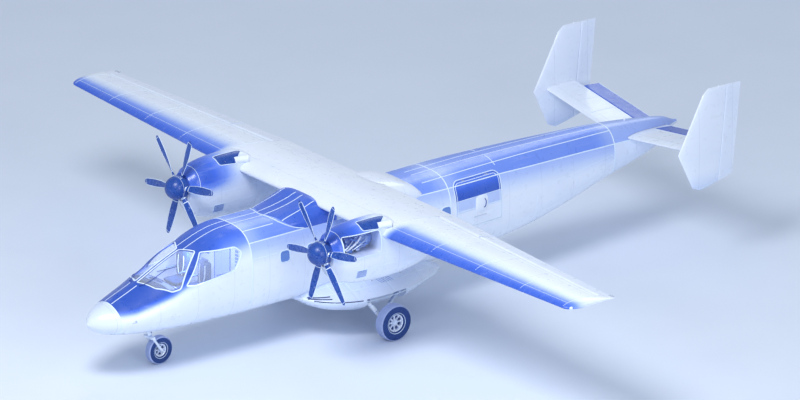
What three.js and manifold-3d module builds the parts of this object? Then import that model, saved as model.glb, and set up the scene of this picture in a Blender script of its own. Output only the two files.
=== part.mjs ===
// A twin-engine, high-wing turboprop airliner with a twin-fin tail, parked on its wheels.
// Millimetres. +X is the port side, -Y is forward and +Z is up.
// The origin is on the ground, on the centreline, midway between nose tip and tail tip.
// Stations are distances aft of the nose tip. Heights are above the ground.

import * as THREE from 'three';
import { mergeVertices } from 'three/addons/utils/BufferGeometryUtils.js';
import Module from 'manifold-3d';

const wasm = await Module();
wasm.setup();

// ---------------------------------------------------------------- driving dimensions

const LENGTH = 18000;
const HALF_SPAN = 10000;
const JOINT_GAP = 0.3; // between fixed pieces that meet
const SLOT_GAP = 5; // round a wing, stabiliser or fin that passes into another piece
const MOVING_GAP = 12; // between a control surface and what it is hung on
const SIDES = [1, -1]; // port and starboard

// Fuselage: station, half width, keel height, roof height, squareness of the upper and lower half.
const FUSELAGE = [
  [0, 30, 1440, 1500, 2.0, 2.0],
  [60, 130, 1365, 1590, 2.0, 2.0],
  [250, 330, 1230, 1750, 1.9, 2.1],
  [610, 590, 1130, 1910, 1.7, 2.2],
  [1400, 825, 1030, 2220, 1.65, 2.4],
  [2100, 920, 985, 2545, 1.8, 2.6],
  [2700, 965, 965, 2790, 2.1, 2.8],
  [3550, 990, 950, 3080, 2.5, 3.0],
  [4240, 1000, 950, 3150, 2.9, 3.2],
  [9200, 990, 950, 3150, 3.0, 3.2],
  [10300, 980, 950, 3175, 3.0, 3.2],
  [11500, 910, 1000, 3195, 2.9, 3.2],
  [13000, 790, 1150, 3185, 2.8, 3.0],
  [14300, 680, 1435, 3155, 2.6, 2.8],
  [15680, 550, 1800, 3105, 2.4, 2.4],
  [16900, 380, 2080, 2990, 2.2, 2.2],
  [17600, 215, 2330, 2880, 2.1, 2.1],
  [18000, 50, 2620, 2730, 2.0, 2.0],
];
const SECTION_SIDES = 32;
const RING_PITCH = 1300;
const SKIN = 35; // fuselage wall, forward of the rear door
const TAIL_SKIN = 25;
const NOSE_CAP_END = 610;
const COCKPIT_END = 4240;
const CABIN_END = 10300;
const TAIL_CONE_START = 15680;
const TAIL_CONE_TIP = 17620; // solid from here aft

// Cockpit glazing, as corners seen from above (windscreen) and from the side (side window).
const GLASS_THICKNESS = 12;
const GLASS_GAP = 2;
const WINDSCREEN = [[50, 1480], [50, 2710], [412, 2926], [805, 2215], [755, 2000], [500, 1695]];
const SIDE_WINDOW = [[2380, 2180], [3020, 2790], [3822, 2832], [3960, 2700], [3740, 2325], [2640, 2160]];

// Rear door in the port side, hung along its top edge.
const DOOR = { front: 10480, rear: 11900, sill: 1800, head: 2960, corner: 160, gap: 8 };

// Floors, cockpit fittings and the rack of batteries and radios ahead of the cockpit.
const FITTING_GAP = 15; // between the fittings and the curved skin
const FLOOR_TOP = 1440;
const FLOOR_THICKNESS = 40;
const COCKPIT_FLOOR = [1600, 4230]; // first and last station
const CABIN_FLOOR = [4250, 12000];
const BULKHEAD_STATION = 4080;
const EQUIPMENT_RACK = { halfWidth: 400, front: 700, rear: 1550, low: 1250, high: 1750 };
const DOORWAY = { halfWidth: 300, top: 2750 }; // through the cockpit bulkhead
const INSTRUMENT_PANEL = { halfWidth: 760, front: 1960, rear: 2140, low: 1700, high: 2180 };
const PEDESTAL = { halfWidth: 110, front: 2000, rear: 2680, high: 1850 };
const SEAT = { side: 430, front: 2780, width: 480, depth: 480, height: 430, back: 1120, cushion: 110 };

// Wing: constant chord between the nacelles, tapered outside them.
const WING = {
  breakSpan: 3300,
  rootLead: 6410,
  rootTrail: 8580,
  tipLead: 6870,
  tipTrail: 8220,
  rootHeight: 3290,
  tipHeight: 3270,
  rootRatio: 0.15,
  tipRatio: 0.12,
  camber: 0.02,
  hinge: 0.8,
};
const FLAP_SPAN = [3330, 4940];
const AILERON_SPAN = [4980, 9740];
const TRAILING_HALF_THICKNESS = 4;

// Nacelles: station, half width, underside, top, squareness of the upper and lower half.
const NACELLE_SIDE = 2857;
const NACELLE = [
  [5015, 330, 2600, 3380, 2.2, 2.2],
  [5150, 430, 2360, 3480, 2.4, 2.4],
  [5450, 490, 2200, 3570, 2.5, 2.5],
  [5900, 510, 2110, 3630, 2.6, 2.6],
  [6500, 510, 2070, 3650, 2.6, 2.6],
  [6850, 500, 2085, 3560, 2.6, 2.6],
  [7100, 490, 2110, 3380, 2.6, 2.6],
  [7700, 460, 2220, 3300, 2.5, 2.5],
  [8400, 350, 2520, 3275, 2.3, 2.3],
  [8600, 290, 2640, 3240, 2.3, 2.3],
  [8850, 150, 2800, 3090, 2.2, 2.2],
  [9000, 50, 2900, 2990, 2.0, 2.0],
];
const NACELLE_SECTION_SIDES = 22;
const NACELLE_RING_PITCH = 400;
const COWL_OPENING = { front: 5270, rear: 6330, low: 2900, high: 3440, depth: 300 };
const ENGINE = { front: 5150, rear: 6325, radius: 235, height: 3160 };
const CHIN_INTAKE = { halfWidth: 170, low: 2660, high: 2790, depth: 260 };

// Propellers.
const PROPELLER = { radius: 1400, station: 4910, height: 3050, blades: 6, phase: 10 };
const SPINNER = { tip: 4540, base: 4985, radius: 290, flange: 4835 };
const BLADE_SIDES = 8;
// Blade stations: fraction of the radius, chord, thickness over chord, pitch from the disc plane.
const BLADE = [
  [0.16, 100, 0.6, 54],
  [0.3, 145, 0.27, 34],
  [0.5, 195, 0.14, 16],
  [0.72, 200, 0.1, 6],
  [0.9, 170, 0.08, 2],
  [1.0, 60, 0.1, 1],
];

// Sponsons on the lower sides, each housing a main leg: scale and drop of the section by station.
const SPONSON = [
  [5700, 0.1, 0], [5950, 0.42, 0], [6350, 0.74, 0], [6950, 0.95, 0], [7600, 1.0, 0],
  [8400, 0.92, 0], [9100, 0.7, 10], [9700, 0.44, 70], [10100, 0.14, 190],
];
const SPONSON_SECTION = [
  [600, 1450], [900, 1400], [1280, 1240], [1640, 1100], [1800, 980],
  [1745, 830], [1480, 675], [1080, 600], [700, 660], [600, 850],
];
const SPONSON_CORE = [620, 1080];
const WHEEL_WELL = { inner: 1240, outer: 1850, front: 7120, rear: 8350, top: 1010 };

// Landing gear.
const MAIN_WHEEL = { side: 2170, station: 7600, radius: 450, width: 300, rim: 225 };
const NOSE_WHEEL = { side: 0, station: 2150, radius: 350, width: 200, rim: 165 };
const SHOULDER = 34; // depth of a tyre's rounded shoulder
const HUB_FACE = 0.3; // distance of a hub's end faces from the wheel's middle, over the tyre's width
const NOSE_LEG = { station: 1870, radius: 75, top: 985, split: 830 };
const NOSE_FORK = {
  pistonRadius: 50, yoke: [715, 765], yokeDepth: 60, armClearance: 45, armRadius: 32, axleRadius: 30,
};

// Main leg: side, station and height of each pivot and joint, and the radius of each member.
const MAIN_LEG = {
  armPivot: [[1290, 7230, 930], [1680, 7230, 930]],
  arm: [[1560, 7230, 930], [1840, 7500, 480]],
  armFoot: [[1780, 7480, 500], [1860, 7660, 450]],
  strutPivot: [[1380, 8200, 940], [1660, 8200, 940]],
  strut: [[1560, 8200, 940], [1800, 7560, 560]],
  axleStart: 1800,
  radii: {
    armPivot: [55, 55], arm: [62, 52], armFoot: [75, 75], strutPivot: [45, 45], strut: [45, 38], axle: 50,
  },
};

// Tail.
const STABILISER = {
  lead: 16155, trail: 17550, height: 2700, dihedral: 8,
  ratio: 0.09, hinge: 0.68, rootSpan: 400, elevatorSpan: 2500,
};
const STABILISER_ROOT = STABILISER.rootSpan - 30; // the full-chord part ends inboard of the elevators
const FIN_SIDE = 2864;
const FIN_RATIO = 0.08;
// The trailing edge and the rudder hinge are straight lines that lean aft: station at a height.
const FIN_LEAN = 0.105;
const FIN_TRAIL = { station: 17500, height: 2330 };
const RUDDER_HINGE = { station: 17070, height: 2330 };
// Fin sections, upwards: leading station, leading height, trailing height.
const FIN = [
  [16480, 2040, 2270],
  [16260, 2130, 2330],
  [15810, 3080, 3100],
  [16560, 4480, 4500],
  [16720, 4620, 4600],
];

// ---------------------------------------------------------------- general helpers

const along = (station) => station - LENGTH / 2;
const signedPower = (value, power) => Math.sign(value) * Math.abs(value) ** power;

// Slope of a column at the middle of three rows, level where the column stops rising or falling.
function levelSlope(before, here, after, column) {
  const turns = (here[column] - before[column]) * (after[column] - here[column]) <= 0;
  return turns ? 0 : (after[column] - before[column]) / (after[0] - before[0]);
}

// Smooth value of every column of a table whose first column is the station.
function rowAt(rows, station) {
  const found = rows.findIndex((row) => row[0] > station);
  const next = found === -1 ? rows.length - 1 : Math.max(found, 1);
  const [before, from, to, after] = [next - 2, next - 1, next, next + 1].map(
    (index) => rows[Math.min(Math.max(index, 0), rows.length - 1)],
  );
  const span = to[0] - from[0];
  const t = (station - from[0]) / span;
  return from.map((_, column) => {
    const slopeIn = levelSlope(before, from, to, column) * span;
    const slopeOut = levelSlope(from, to, after, column) * span;
    return (
      (2 * t ** 3 - 3 * t ** 2 + 1) * from[column]
      + (t ** 3 - 2 * t ** 2 + t) * slopeIn
      + (3 * t ** 2 - 2 * t ** 3) * to[column]
      + (t ** 3 - t ** 2) * slopeOut
    );
  });
}

// Even stations between two ends, together with the table's own stations between them.
function stationsBetween(rows, from, to, pitch) {
  const stations = new Set([from, to]);
  rows.forEach(([station]) => {
    if (station > from && station < to) stations.add(station);
  });
  const sorted = [...stations].sort((a, b) => a - b);
  return sorted.flatMap((start, index) => {
    if (index === sorted.length - 1) return [start];
    const steps = Math.ceil((sorted[index + 1] - start) / pitch);
    return Array.from({ length: steps }, (_, step) => start + ((sorted[index + 1] - start) * step) / steps);
  });
}

function signedVolume(vertices, triangles) {
  const [a, b, c] = [new THREE.Vector3(), new THREE.Vector3(), new THREE.Vector3()];
  let volume = 0;
  for (let i = 0; i < triangles.length; i += 3) {
    a.fromArray(vertices, triangles[i] * 3);
    b.fromArray(vertices, triangles[i + 1] * 3);
    c.fromArray(vertices, triangles[i + 2] * 3);
    volume += a.dot(b.cross(c)) / 6;
  }
  return volume;
}

// A solid from a closed mesh, turned so that its faces point out.
function solidFrom(vertices, triangles) {
  const vertProperties = Float32Array.from(vertices);
  const triVerts = Uint32Array.from(triangles);
  if (signedVolume(vertProperties, triVerts) < 0) triVerts.reverse();
  return new wasm.Manifold(new wasm.Mesh({ numProp: 3, vertProperties, triVerts }));
}

function solidFromGeometry(geometry) {
  geometry.deleteAttribute('normal');
  geometry.deleteAttribute('uv');
  const merged = mergeVertices(geometry, 0.001);
  return solidFrom(merged.attributes.position.array, merged.index.array);
}

// A closed skin through rings of equally many points, with a flat fan over each end ring.
function loft(rings) {
  const count = rings[0].length;
  const centres = [rings[0], rings.at(-1)].map((ring) => (
    ring.reduce((sum, point) => sum.add(point), new THREE.Vector3()).divideScalar(count)
  ));
  const vertices = [...rings.flat(), ...centres].flatMap((point) => point.toArray());
  const firstCentre = rings.length * count;
  const lastRing = (rings.length - 1) * count;
  const triangles = [];
  for (let side = 0; side < count; side += 1) {
    const next = (side + 1) % count;
    triangles.push(firstCentre, next, side);
    triangles.push(firstCentre + 1, lastRing + side, lastRing + next);
    for (let ring = 0; ring < lastRing; ring += count) {
      triangles.push(ring + side, ring + next, ring + count + next);
      triangles.push(ring + side, ring + count + next, ring + count + side);
    }
  }
  return solidFrom(vertices, triangles);
}

function block([x0, x1], [y0, y1], [z0, z1]) {
  const geometry = new THREE.BoxGeometry(x1 - x0, y1 - y0, z1 - z0);
  geometry.translate((x0 + x1) / 2, (y0 + y1) / 2, (z0 + z1) / 2);
  return solidFromGeometry(geometry);
}

function rod(start, end, radius, endRadius = radius, sides = 12) {
  const direction = end.clone().sub(start);
  const geometry = new THREE.CylinderGeometry(endRadius, radius, direction.length(), sides);
  const turn = new THREE.Quaternion().setFromUnitVectors(new THREE.Vector3(0, 1, 0), direction.normalize());
  geometry.applyQuaternion(turn);
  const middle = start.clone().add(end).divideScalar(2);
  geometry.translate(middle.x, middle.y, middle.z);
  return solidFromGeometry(geometry);
}

// A solid of revolution about a line parallel to X, from [distance along X, radius] pairs.
function turned(profile, [x, y, z], segments = 32) {
  const outline = profile.map(([across, radius]) => new THREE.Vector2(radius, across));
  const geometry = new THREE.LatheGeometry(outline, segments);
  geometry.rotateZ(-Math.PI / 2);
  geometry.translate(x, y, z);
  return solidFromGeometry(geometry);
}

const place = (side, x, station, z) => new THREE.Vector3(side * x, along(station), z);
const joined = (solids) => solids.reduce((sum, solid) => sum.add(solid));

// ---------------------------------------------------------------- fuselage

// Superellipse section of a body at a station; a positive inset shrinks it.
function bodyRing(rows, station, sides, centreX = 0, inset = 0) {
  const [, halfWidth, low, high, upperSquareness, lowerSquareness] = rowAt(rows, station);
  const halfHeight = (high - low) / 2;
  return Array.from({ length: sides }, (_, index) => {
    const angle = ((index + 0.5) / sides) * 2 * Math.PI;
    const squareness = angle < Math.PI ? upperSquareness : lowerSquareness;
    return new THREE.Vector3(
      centreX + Math.max(halfWidth - inset, 1) * signedPower(Math.cos(angle), 2 / squareness),
      along(station),
      (low + high) / 2 + Math.max(halfHeight - inset, 1) * signedPower(Math.sin(angle), 2 / squareness),
    );
  });
}

function fuselageBody(from, to, inset = 0, pitch = RING_PITCH) {
  const stations = stationsBetween(FUSELAGE, from, to, pitch);
  return loft(stations.map((station) => bodyRing(FUSELAGE, station, SECTION_SIDES, 0, inset)));
}

function fuselageTube(from, to, skin = SKIN, innerFrom = from - 1, innerTo = to + 1) {
  return fuselageBody(from, to).subtract(fuselageBody(innerFrom, innerTo, skin));
}

// The cabin's outside, grown by a joint gap, for what is fitted against it.
const cabinEnvelope = () => fuselageBody(COCKPIT_END + JOINT_GAP, CABIN_END, -2 * JOINT_GAP);

// A straight-sided cutter through flat corner points, swept along a vector.
function prism(corners, sweep) {
  return loft([corners, corners.map((corner) => corner.clone().add(sweep))]);
}

// Moves each corner of a convex outline towards the others' centre.
function shrinkOutline(outline, amount) {
  const count = outline.length;
  const centre = outline.reduce(([sx, sy], [x, y]) => [sx + x / count, sy + y / count], [0, 0]);
  return outline.map(([x, y]) => {
    const [dx, dy] = [centre[0] - x, centre[1] - y];
    const distance = Math.hypot(dx, dy);
    return [x + (dx / distance) * amount, y + (dy / distance) * amount];
  });
}

function windscreenCutter(side, amount = 0) {
  const corners = shrinkOutline(WINDSCREEN, amount).map(([x, station]) => place(side, x, station, 1800));
  return prism(corners, new THREE.Vector3(0, 0, 1600));
}

function sideWindowCutter(side, amount = 0) {
  const corners = shrinkOutline(SIDE_WINDOW, amount).map(([station, z]) => place(side, 350, station, z));
  return prism(corners, new THREE.Vector3(side * 900, 0, 0));
}

function glassSheet(cutter) {
  const [from, to] = [NOSE_CAP_END + 100, COCKPIT_END - 50];
  const sheet = fuselageBody(from, to, SKIN / 2 - GLASS_THICKNESS / 2).subtract(
    fuselageBody(from - 1, to + 1, SKIN / 2 + GLASS_THICKNESS / 2),
  );
  return sheet.intersect(cutter);
}

function doorOutline(grow) {
  const { front, rear, sill, head, corner } = DOOR;
  const shape = new THREE.Shape();
  const radius = corner + grow;
  const [y0, y1, z0, z1] = [along(front) - grow, along(rear) + grow, sill - grow, head + grow];
  shape.moveTo(y0, z0);
  shape.lineTo(y1, z0);
  shape.lineTo(y1, z1 - radius);
  shape.absarc(y1 - radius, z1 - radius, radius, 0, Math.PI / 2);
  shape.lineTo(y0 + radius, z1);
  shape.absarc(y0 + radius, z1 - radius, radius, Math.PI / 2, Math.PI);
  return shape;
}

function doorCutter(grow) {
  const sweep = { depth: 900, bevelEnabled: false, curveSegments: 6 };
  const geometry = new THREE.ExtrudeGeometry(doorOutline(grow), sweep);
  // The outline's own axes become Y and Z, and its depth becomes X.
  geometry.applyMatrix4(new THREE.Matrix4().set(0, 0, 1, 350, 1, 0, 0, 0, 0, 1, 0, 0, 0, 0, 0, 1));
  return solidFromGeometry(geometry);
}

function insideFuselage(solid, from, to) {
  return solid.intersect(fuselageBody(from, to, SKIN + FITTING_GAP));
}

// ---------------------------------------------------------------- lifting surfaces

const foilHalfThickness = (x) => (
  5 * (0.2969 * Math.sqrt(x) - 0.126 * x - 0.3516 * x ** 2 + 0.2843 * x ** 3 - 0.1036 * x ** 4)
);

// A point on one section of a surface. The section is { lead, trail, up, ratio, camber, hinge, swell }.
function foilPoint({ lead, trail, up, ratio, camber = 0, swell = 0 }, x, face) {
  const chord = lead.distanceTo(trail);
  const half = Math.max(foilHalfThickness(x) * ratio * chord, TRAILING_HALF_THICKNESS) + swell;
  const lift = camber * 4 * x * (1 - x) * chord + face * half;
  return lead.clone().lerp(trail, x).addScaledVector(up, lift);
}

const FOIL_STEPS = 8;

// The part of a section from its leading edge back to a chord fraction, closed by a flat face.
function frontRing(section, end = 1) {
  const steps = Array.from({ length: FOIL_STEPS }, (_, index) => end * ((index + 1) / FOIL_STEPS) ** 1.7);
  const nose = foilPoint({ ...section, ratio: 0, swell: 0 }, 0, 0);
  const chordwise = section.trail.clone().sub(section.lead).normalize();
  nose.addScaledVector(chordwise, -(section.swell ?? 0) - TRAILING_HALF_THICKNESS);
  const upper = steps.map((x) => foilPoint(section, x, 1)).reverse();
  const lower = steps.map((x) => foilPoint(section, x, -1));
  return [...upper, nose, ...lower];
}

function hingeOf(section) {
  const upper = foilPoint(section, section.hinge, 1);
  const lower = foilPoint(section, section.hinge, -1);
  return { centre: upper.clone().add(lower).divideScalar(2), radius: upper.distanceTo(lower) / 2 };
}

// The part of a section aft of its hinge, with a round nose about the hinge line.
function rearRing(section) {
  const { centre, radius } = hingeOf(section);
  const forward = section.lead.clone().sub(section.trail).normalize();
  const noseSteps = 7;
  const nose = Array.from({ length: noseSteps }, (_, index) => {
    const angle = (index / (noseSteps - 1)) * Math.PI;
    return centre.clone()
      .addScaledVector(section.up, radius * Math.cos(angle))
      .addScaledVector(forward, radius * Math.sin(angle));
  });
  const fractions = [0.35, 0.7, 1].map((part) => section.hinge + (1 - section.hinge) * part);
  const lower = fractions.map((x) => foilPoint(section, x, -1));
  const upper = fractions.map((x) => foilPoint(section, x, 1)).reverse();
  return [...nose, ...lower, ...upper];
}

// Chord fraction where the fixed part ends, a running gap ahead of the round nose.
function cutFraction(section) {
  const chord = section.lead.distanceTo(section.trail);
  return section.hinge - (hingeOf(section).radius + MOVING_GAP) / chord;
}

const frontPanel = (sections) => loft(sections.map((section) => frontRing(section, cutFraction(section))));
const wholePanel = (sections) => loft(sections.map((section) => frontRing(section)));
const rearPanel = (sections) => loft(sections.map(rearRing));

// ---------------------------------------------------------------- wing

const UP = new THREE.Vector3(0, 0, 1);

// Wing section at a distance from the centreline; swell grows it all round.
function wingSection(side, span, swell = 0) {
  const part = Math.max(span - WING.breakSpan, 0) / (HALF_SPAN - WING.breakSpan);
  const mix = (root, tip) => root + (tip - root) * part;
  return {
    lead: place(side, span, mix(WING.rootLead, WING.tipLead) - swell, mix(WING.rootHeight, WING.tipHeight)),
    trail: place(side, span, mix(WING.rootTrail, WING.tipTrail) + swell, mix(WING.rootHeight, WING.tipHeight)),
    up: UP,
    ratio: mix(WING.rootRatio, WING.tipRatio),
    camber: WING.camber,
    hinge: WING.hinge,
    swell,
  };
}

// The tip's leading corner is rounded off, and its section thins to a blunt edge.
function wingTipSections(side) {
  const round = [[AILERON_SPAN[1] + 20, 0, 1], [9880, 60, 0.95], [9960, 190, 0.8], [HALF_SPAN, 380, 0.5]];
  return round.map(([span, setBack, thickness]) => {
    const section = wingSection(side, span);
    section.lead.y += setBack;
    section.ratio *= thickness;
    return section;
  });
}

const wingSections = (side, spans, swell) => spans.map((span) => wingSection(side, span, swell));

function outerWing(side) {
  const inner = WING.breakSpan + JOINT_GAP;
  const root = wholePanel(wingSections(side, [inner, FLAP_SPAN[0] - 15]));
  const spar = frontPanel(wingSections(side, [FLAP_SPAN[0] - 15, 5000, 7500, AILERON_SPAN[1] + 20]));
  const tip = wholePanel(wingTipSections(side));
  return joined([root, spar, tip]);
}

function wingEnvelope(swell) {
  const centre = wholePanel([wingSection(-1, WING.breakSpan, swell), wingSection(1, WING.breakSpan, swell)]);
  const outers = SIDES.map((side) => wholePanel(wingSections(side, [WING.breakSpan - 1, 4500], swell)));
  return joined([centre, ...outers]);
}

// Fillet between the cabin roof and the wing, in the same columns as the fuselage.
const WING_FAIRING = [
  [5150, 300, 2700, 3154, 2.3, 2.3],
  [5350, 590, 2600, 3172, 2.5, 2.5],
  [5600, 755, 2500, 3202, 2.8, 2.8],
  [5900, 840, 2400, 3256, 3.2, 3.2],
  [6150, 850, 2400, 3318, 3.6, 3.6],
  [6430, 850, 2400, 3396, 4.0, 4.0],
  [6600, 850, 2400, 3396, 4.0, 4.0],
  [7500, 850, 2400, 3390, 4.0, 4.0],
  [8400, 850, 2400, 3345, 3.6, 3.6],
  [9000, 850, 2500, 3265, 3.2, 3.2],
  [9400, 835, 2620, 3130, 2.8, 2.8],
  [9700, 770, 2760, 2960, 2.4, 2.4],
];

function wingFairing() {
  const [from, to] = [WING_FAIRING[0][0], WING_FAIRING.at(-1)[0]];
  const stations = stationsBetween(WING_FAIRING, from, to, 600);
  return loft(stations.map((station) => bodyRing(WING_FAIRING, station, 20)))
    .subtract(cabinEnvelope())
    .subtract(wingEnvelope(SLOT_GAP));
}

// ---------------------------------------------------------------- nacelles and propellers

function nacelle(side) {
  const [from, to] = [NACELLE[0][0], NACELLE.at(-1)[0]];
  const stations = stationsBetween(NACELLE, from, to, NACELLE_RING_PITCH);
  const centre = side * NACELLE_SIDE;
  const body = loft(stations.map((station) => bodyRing(NACELLE, station, NACELLE_SECTION_SIDES, centre)));
  const { front, rear, low, high, depth } = COWL_OPENING;
  const reach = [centre - side * depth, centre + side * 700].sort((a, b) => a - b);
  const opening = block(reach, [along(front), along(rear)], [low, high]);
  const intake = block(
    [centre - CHIN_INTAKE.halfWidth, centre + CHIN_INTAKE.halfWidth],
    [along(from) - 10, along(from) + CHIN_INTAKE.depth],
    [CHIN_INTAKE.low, CHIN_INTAKE.high],
  );
  return body
    .subtract(wingEnvelope(SLOT_GAP))
    .subtract(opening)
    .subtract(intake)
    .subtract(engine(side, SLOT_GAP));
}

// The engine as one plain drum; a positive gap grows it into its bay.
function engine(side, gap = 0) {
  const front = place(side, NACELLE_SIDE, ENGINE.front - gap, ENGINE.height);
  const rear = place(side, NACELLE_SIDE, ENGINE.rear + gap, ENGINE.height);
  return rod(front, rear, ENGINE.radius + gap, ENGINE.radius + gap, 20);
}

function spinner(side) {
  const length = SPINNER.flange - SPINNER.tip;
  const domeSteps = 6;
  const dome = Array.from({ length: domeSteps + 1 }, (_, index) => {
    const angle = (index / domeSteps) * (Math.PI / 2);
    return new THREE.Vector2(SPINNER.radius * Math.sin(angle), length * (1 - Math.cos(angle)));
  });
  dome[0].x = 0;
  const profile = [
    ...dome,
    new THREE.Vector2(SPINNER.radius, SPINNER.base - SPINNER.tip),
    new THREE.Vector2(0, SPINNER.base - SPINNER.tip),
  ];
  const geometry = new THREE.LatheGeometry(profile, 24);
  geometry.translate(side * NACELLE_SIDE, along(SPINNER.tip), PROPELLER.height);
  return solidFromGeometry(geometry);
}

// A blade section across a radius: a thin lens turned by its pitch.
function bladeRing(side, azimuth, [fraction, chord, ratio, pitch]) {
  const outward = new THREE.Vector3(Math.cos(azimuth), 0, Math.sin(azimuth));
  const around = new THREE.Vector3(-Math.sin(azimuth), 0, Math.cos(azimuth));
  const turn = THREE.MathUtils.degToRad(pitch);
  const chordwise = around.multiplyScalar(Math.cos(turn)).add(new THREE.Vector3(0, Math.sin(turn), 0));
  const across = new THREE.Vector3().crossVectors(outward, chordwise);
  const hub = place(side, NACELLE_SIDE, PROPELLER.station, PROPELLER.height);
  const centre = hub.addScaledVector(outward, fraction * PROPELLER.radius);
  return Array.from({ length: BLADE_SIDES }, (_, index) => {
    const angle = (index / BLADE_SIDES) * 2 * Math.PI;
    return centre.clone()
      .addScaledVector(chordwise, (chord / 2) * Math.cos(angle))
      .addScaledVector(across, ((chord * ratio) / 2) * Math.sin(angle));
  });
}

// The blades, evenly spaced round the spinner.
function blades(side) {
  const step = (2 * Math.PI) / PROPELLER.blades;
  return Array.from({ length: PROPELLER.blades }, (_, index) => {
    const azimuth = THREE.MathUtils.degToRad(PROPELLER.phase) + index * step;
    return loft(BLADE.map((row) => bladeRing(side, azimuth, row)));
  });
}

// ---------------------------------------------------------------- sponsons and landing gear

function sponson(side) {
  const rings = SPONSON.map(([station, scale, drop]) => SPONSON_SECTION.map(([x, z]) => place(
    side,
    SPONSON_CORE[0] + (x - SPONSON_CORE[0]) * scale,
    station,
    SPONSON_CORE[1] + (z - SPONSON_CORE[1]) * scale - drop,
  )));
  const { inner, outer, front, rear, top } = WHEEL_WELL;
  const well = block([side * inner, side * outer].sort((a, b) => a - b), [along(front), along(rear)], [0, top]);
  return loft(rings)
    .subtract(cabinEnvelope())
    .subtract(well);
}

// Trailing arm from the front of the wheel well, axle stub, and shock strut from the rear.
function mainLeg(side) {
  const { axleStart, radii } = MAIN_LEG;
  const { side: wheelSide, station, radius, width } = MAIN_WHEEL;
  const axleInner = wheelSide - width * HUB_FACE - MOVING_GAP / 2;
  const axleEnds = [axleStart, axleInner].map((x) => place(side, x, station, radius));
  const axle = rod(...axleEnds, radii.axle);
  const members = ['armPivot', 'arm', 'armFoot', 'strutPivot', 'strut'].map((name) => {
    const [start, end] = MAIN_LEG[name].map((point) => place(side, ...point));
    return rod(start, end, ...radii[name]);
  });
  return joined([axle, ...members]);
}

function wheelCentre({ side: offset, station, radius }, side) {
  return [side * offset, along(station), radius];
}

function tyre(wheel, side) {
  const { radius, width, rim } = wheel;
  const half = width / 2;
  const profile = [
    [-half * 0.64, rim], [-half, (rim + radius) / 2], [-half * 0.86, radius - SHOULDER], [-half * 0.45, radius],
    [half * 0.45, radius], [half * 0.86, radius - SHOULDER], [half, (rim + radius) / 2], [half * 0.64, rim],
    [-half * 0.64, rim],
  ];
  return turned(profile, wheelCentre(wheel, side));
}

function wheelHub(wheel, side) {
  const { width, rim } = wheel;
  const face = width * HUB_FACE;
  const edge = rim - JOINT_GAP;
  const profile = [
    [-face, 0], [-face, rim * 0.4], [-face / 2, rim * 0.55], [-face, edge],
    [face, edge], [face / 2, rim * 0.55], [face, rim * 0.4], [face, 0],
  ];
  return turned(profile, wheelCentre(wheel, side));
}

function noseLeg() {
  const { station, radius, top, split } = NOSE_LEG;
  return rod(place(1, 0, station, split), place(1, 0, station, top), radius);
}

// Steered part of the nose leg: a piston, a yoke and one arm each side of the wheel.
function noseFork() {
  const { station, split } = NOSE_LEG;
  const { pistonRadius, yoke: [yokeLow, yokeHigh], yokeDepth, armClearance, armRadius, axleRadius } = NOSE_FORK;
  const { width, station: axleStation, radius } = NOSE_WHEEL;
  const armSide = width / 2 + armClearance;
  const reach = armSide + 25;
  const height = (yokeLow + yokeHigh) / 2;
  const yokeY = [along(station) - yokeDepth, along(station) + yokeDepth];
  const yoke = block([-reach, reach], yokeY, [yokeLow, yokeHigh]);
  const piston = rod(place(1, 0, station, height), place(1, 0, station, split - JOINT_GAP), pistonRadius);
  const arms = SIDES.map((side) => rod(
    place(side, armSide, station, height),
    place(side, armSide, axleStation, radius),
    armRadius,
  ));
  const axles = SIDES.map((side) => rod(
    place(side, armSide + 20, axleStation, radius),
    place(side, width * HUB_FACE + MOVING_GAP / 2, axleStation, radius),
    axleRadius,
  ));
  return joined([yoke, piston, ...arms, ...axles]);
}

// ---------------------------------------------------------------- cockpit fittings

function seat(side) {
  const { side: offset, front, width, depth, height, back, cushion } = SEAT;
  const x = [offset - width / 2, offset + width / 2].map((value) => value * side).sort((a, b) => a - b);
  const y = along(front);
  const column = [side * offset - 90, side * offset + 90];
  return joined([
    block(x, [y, y + depth], [FLOOR_TOP + height - cushion, FLOOR_TOP + height]),
    block(x, [y + depth - cushion, y + depth + 10], [FLOOR_TOP + height - cushion, FLOOR_TOP + back]),
    block(column, [y + 120, y + 320], [FLOOR_TOP + JOINT_GAP, FLOOR_TOP + height - cushion + 1]),
  ]);
}

function cockpitBulkhead() {
  const y = [along(BULKHEAD_STATION), along(BULKHEAD_STATION) + 40];
  const wall = insideFuselage(block([-1100, 1100], y, [FLOOR_TOP + JOINT_GAP, 3300]), 3900, COCKPIT_END);
  const doorway = block([-DOORWAY.halfWidth, DOORWAY.halfWidth], [y[0] - 5, y[1] + 5], [0, DOORWAY.top]);
  return wall.subtract(doorway);
}

function instrumentPanel() {
  const { halfWidth, front, rear, low, high } = INSTRUMENT_PANEL;
  const face = block([-halfWidth, halfWidth], [along(front), along(rear)], [low, high]);
  const floor = FLOOR_TOP + JOINT_GAP;
  const pedestalX = [-PEDESTAL.halfWidth, PEDESTAL.halfWidth];
  const pedestal = block(pedestalX, [along(rear) - 20, along(PEDESTAL.rear)], [floor, PEDESTAL.high]);
  const stem = block(pedestalX, [along(PEDESTAL.front), along(rear) + 10], [floor, low + 50]);
  return insideFuselage(joined([face, stem, pedestal]), front - 400, PEDESTAL.rear + 400);
}

function equipmentRack() {
  const { halfWidth, front, rear, low, high } = EQUIPMENT_RACK;
  const rack = block([-halfWidth, halfWidth], [along(front), along(rear)], [low, high]);
  return insideFuselage(rack, front - 100, rear + 100);
}

function floorSlab(from, to) {
  const slab = block([-1100, 1100], [along(from), along(to)], [FLOOR_TOP - FLOOR_THICKNESS, FLOOR_TOP]);
  return insideFuselage(slab, from - 50, to + 50);
}

// ---------------------------------------------------------------- tail

const TILT = THREE.MathUtils.degToRad(STABILISER.dihedral);

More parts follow.
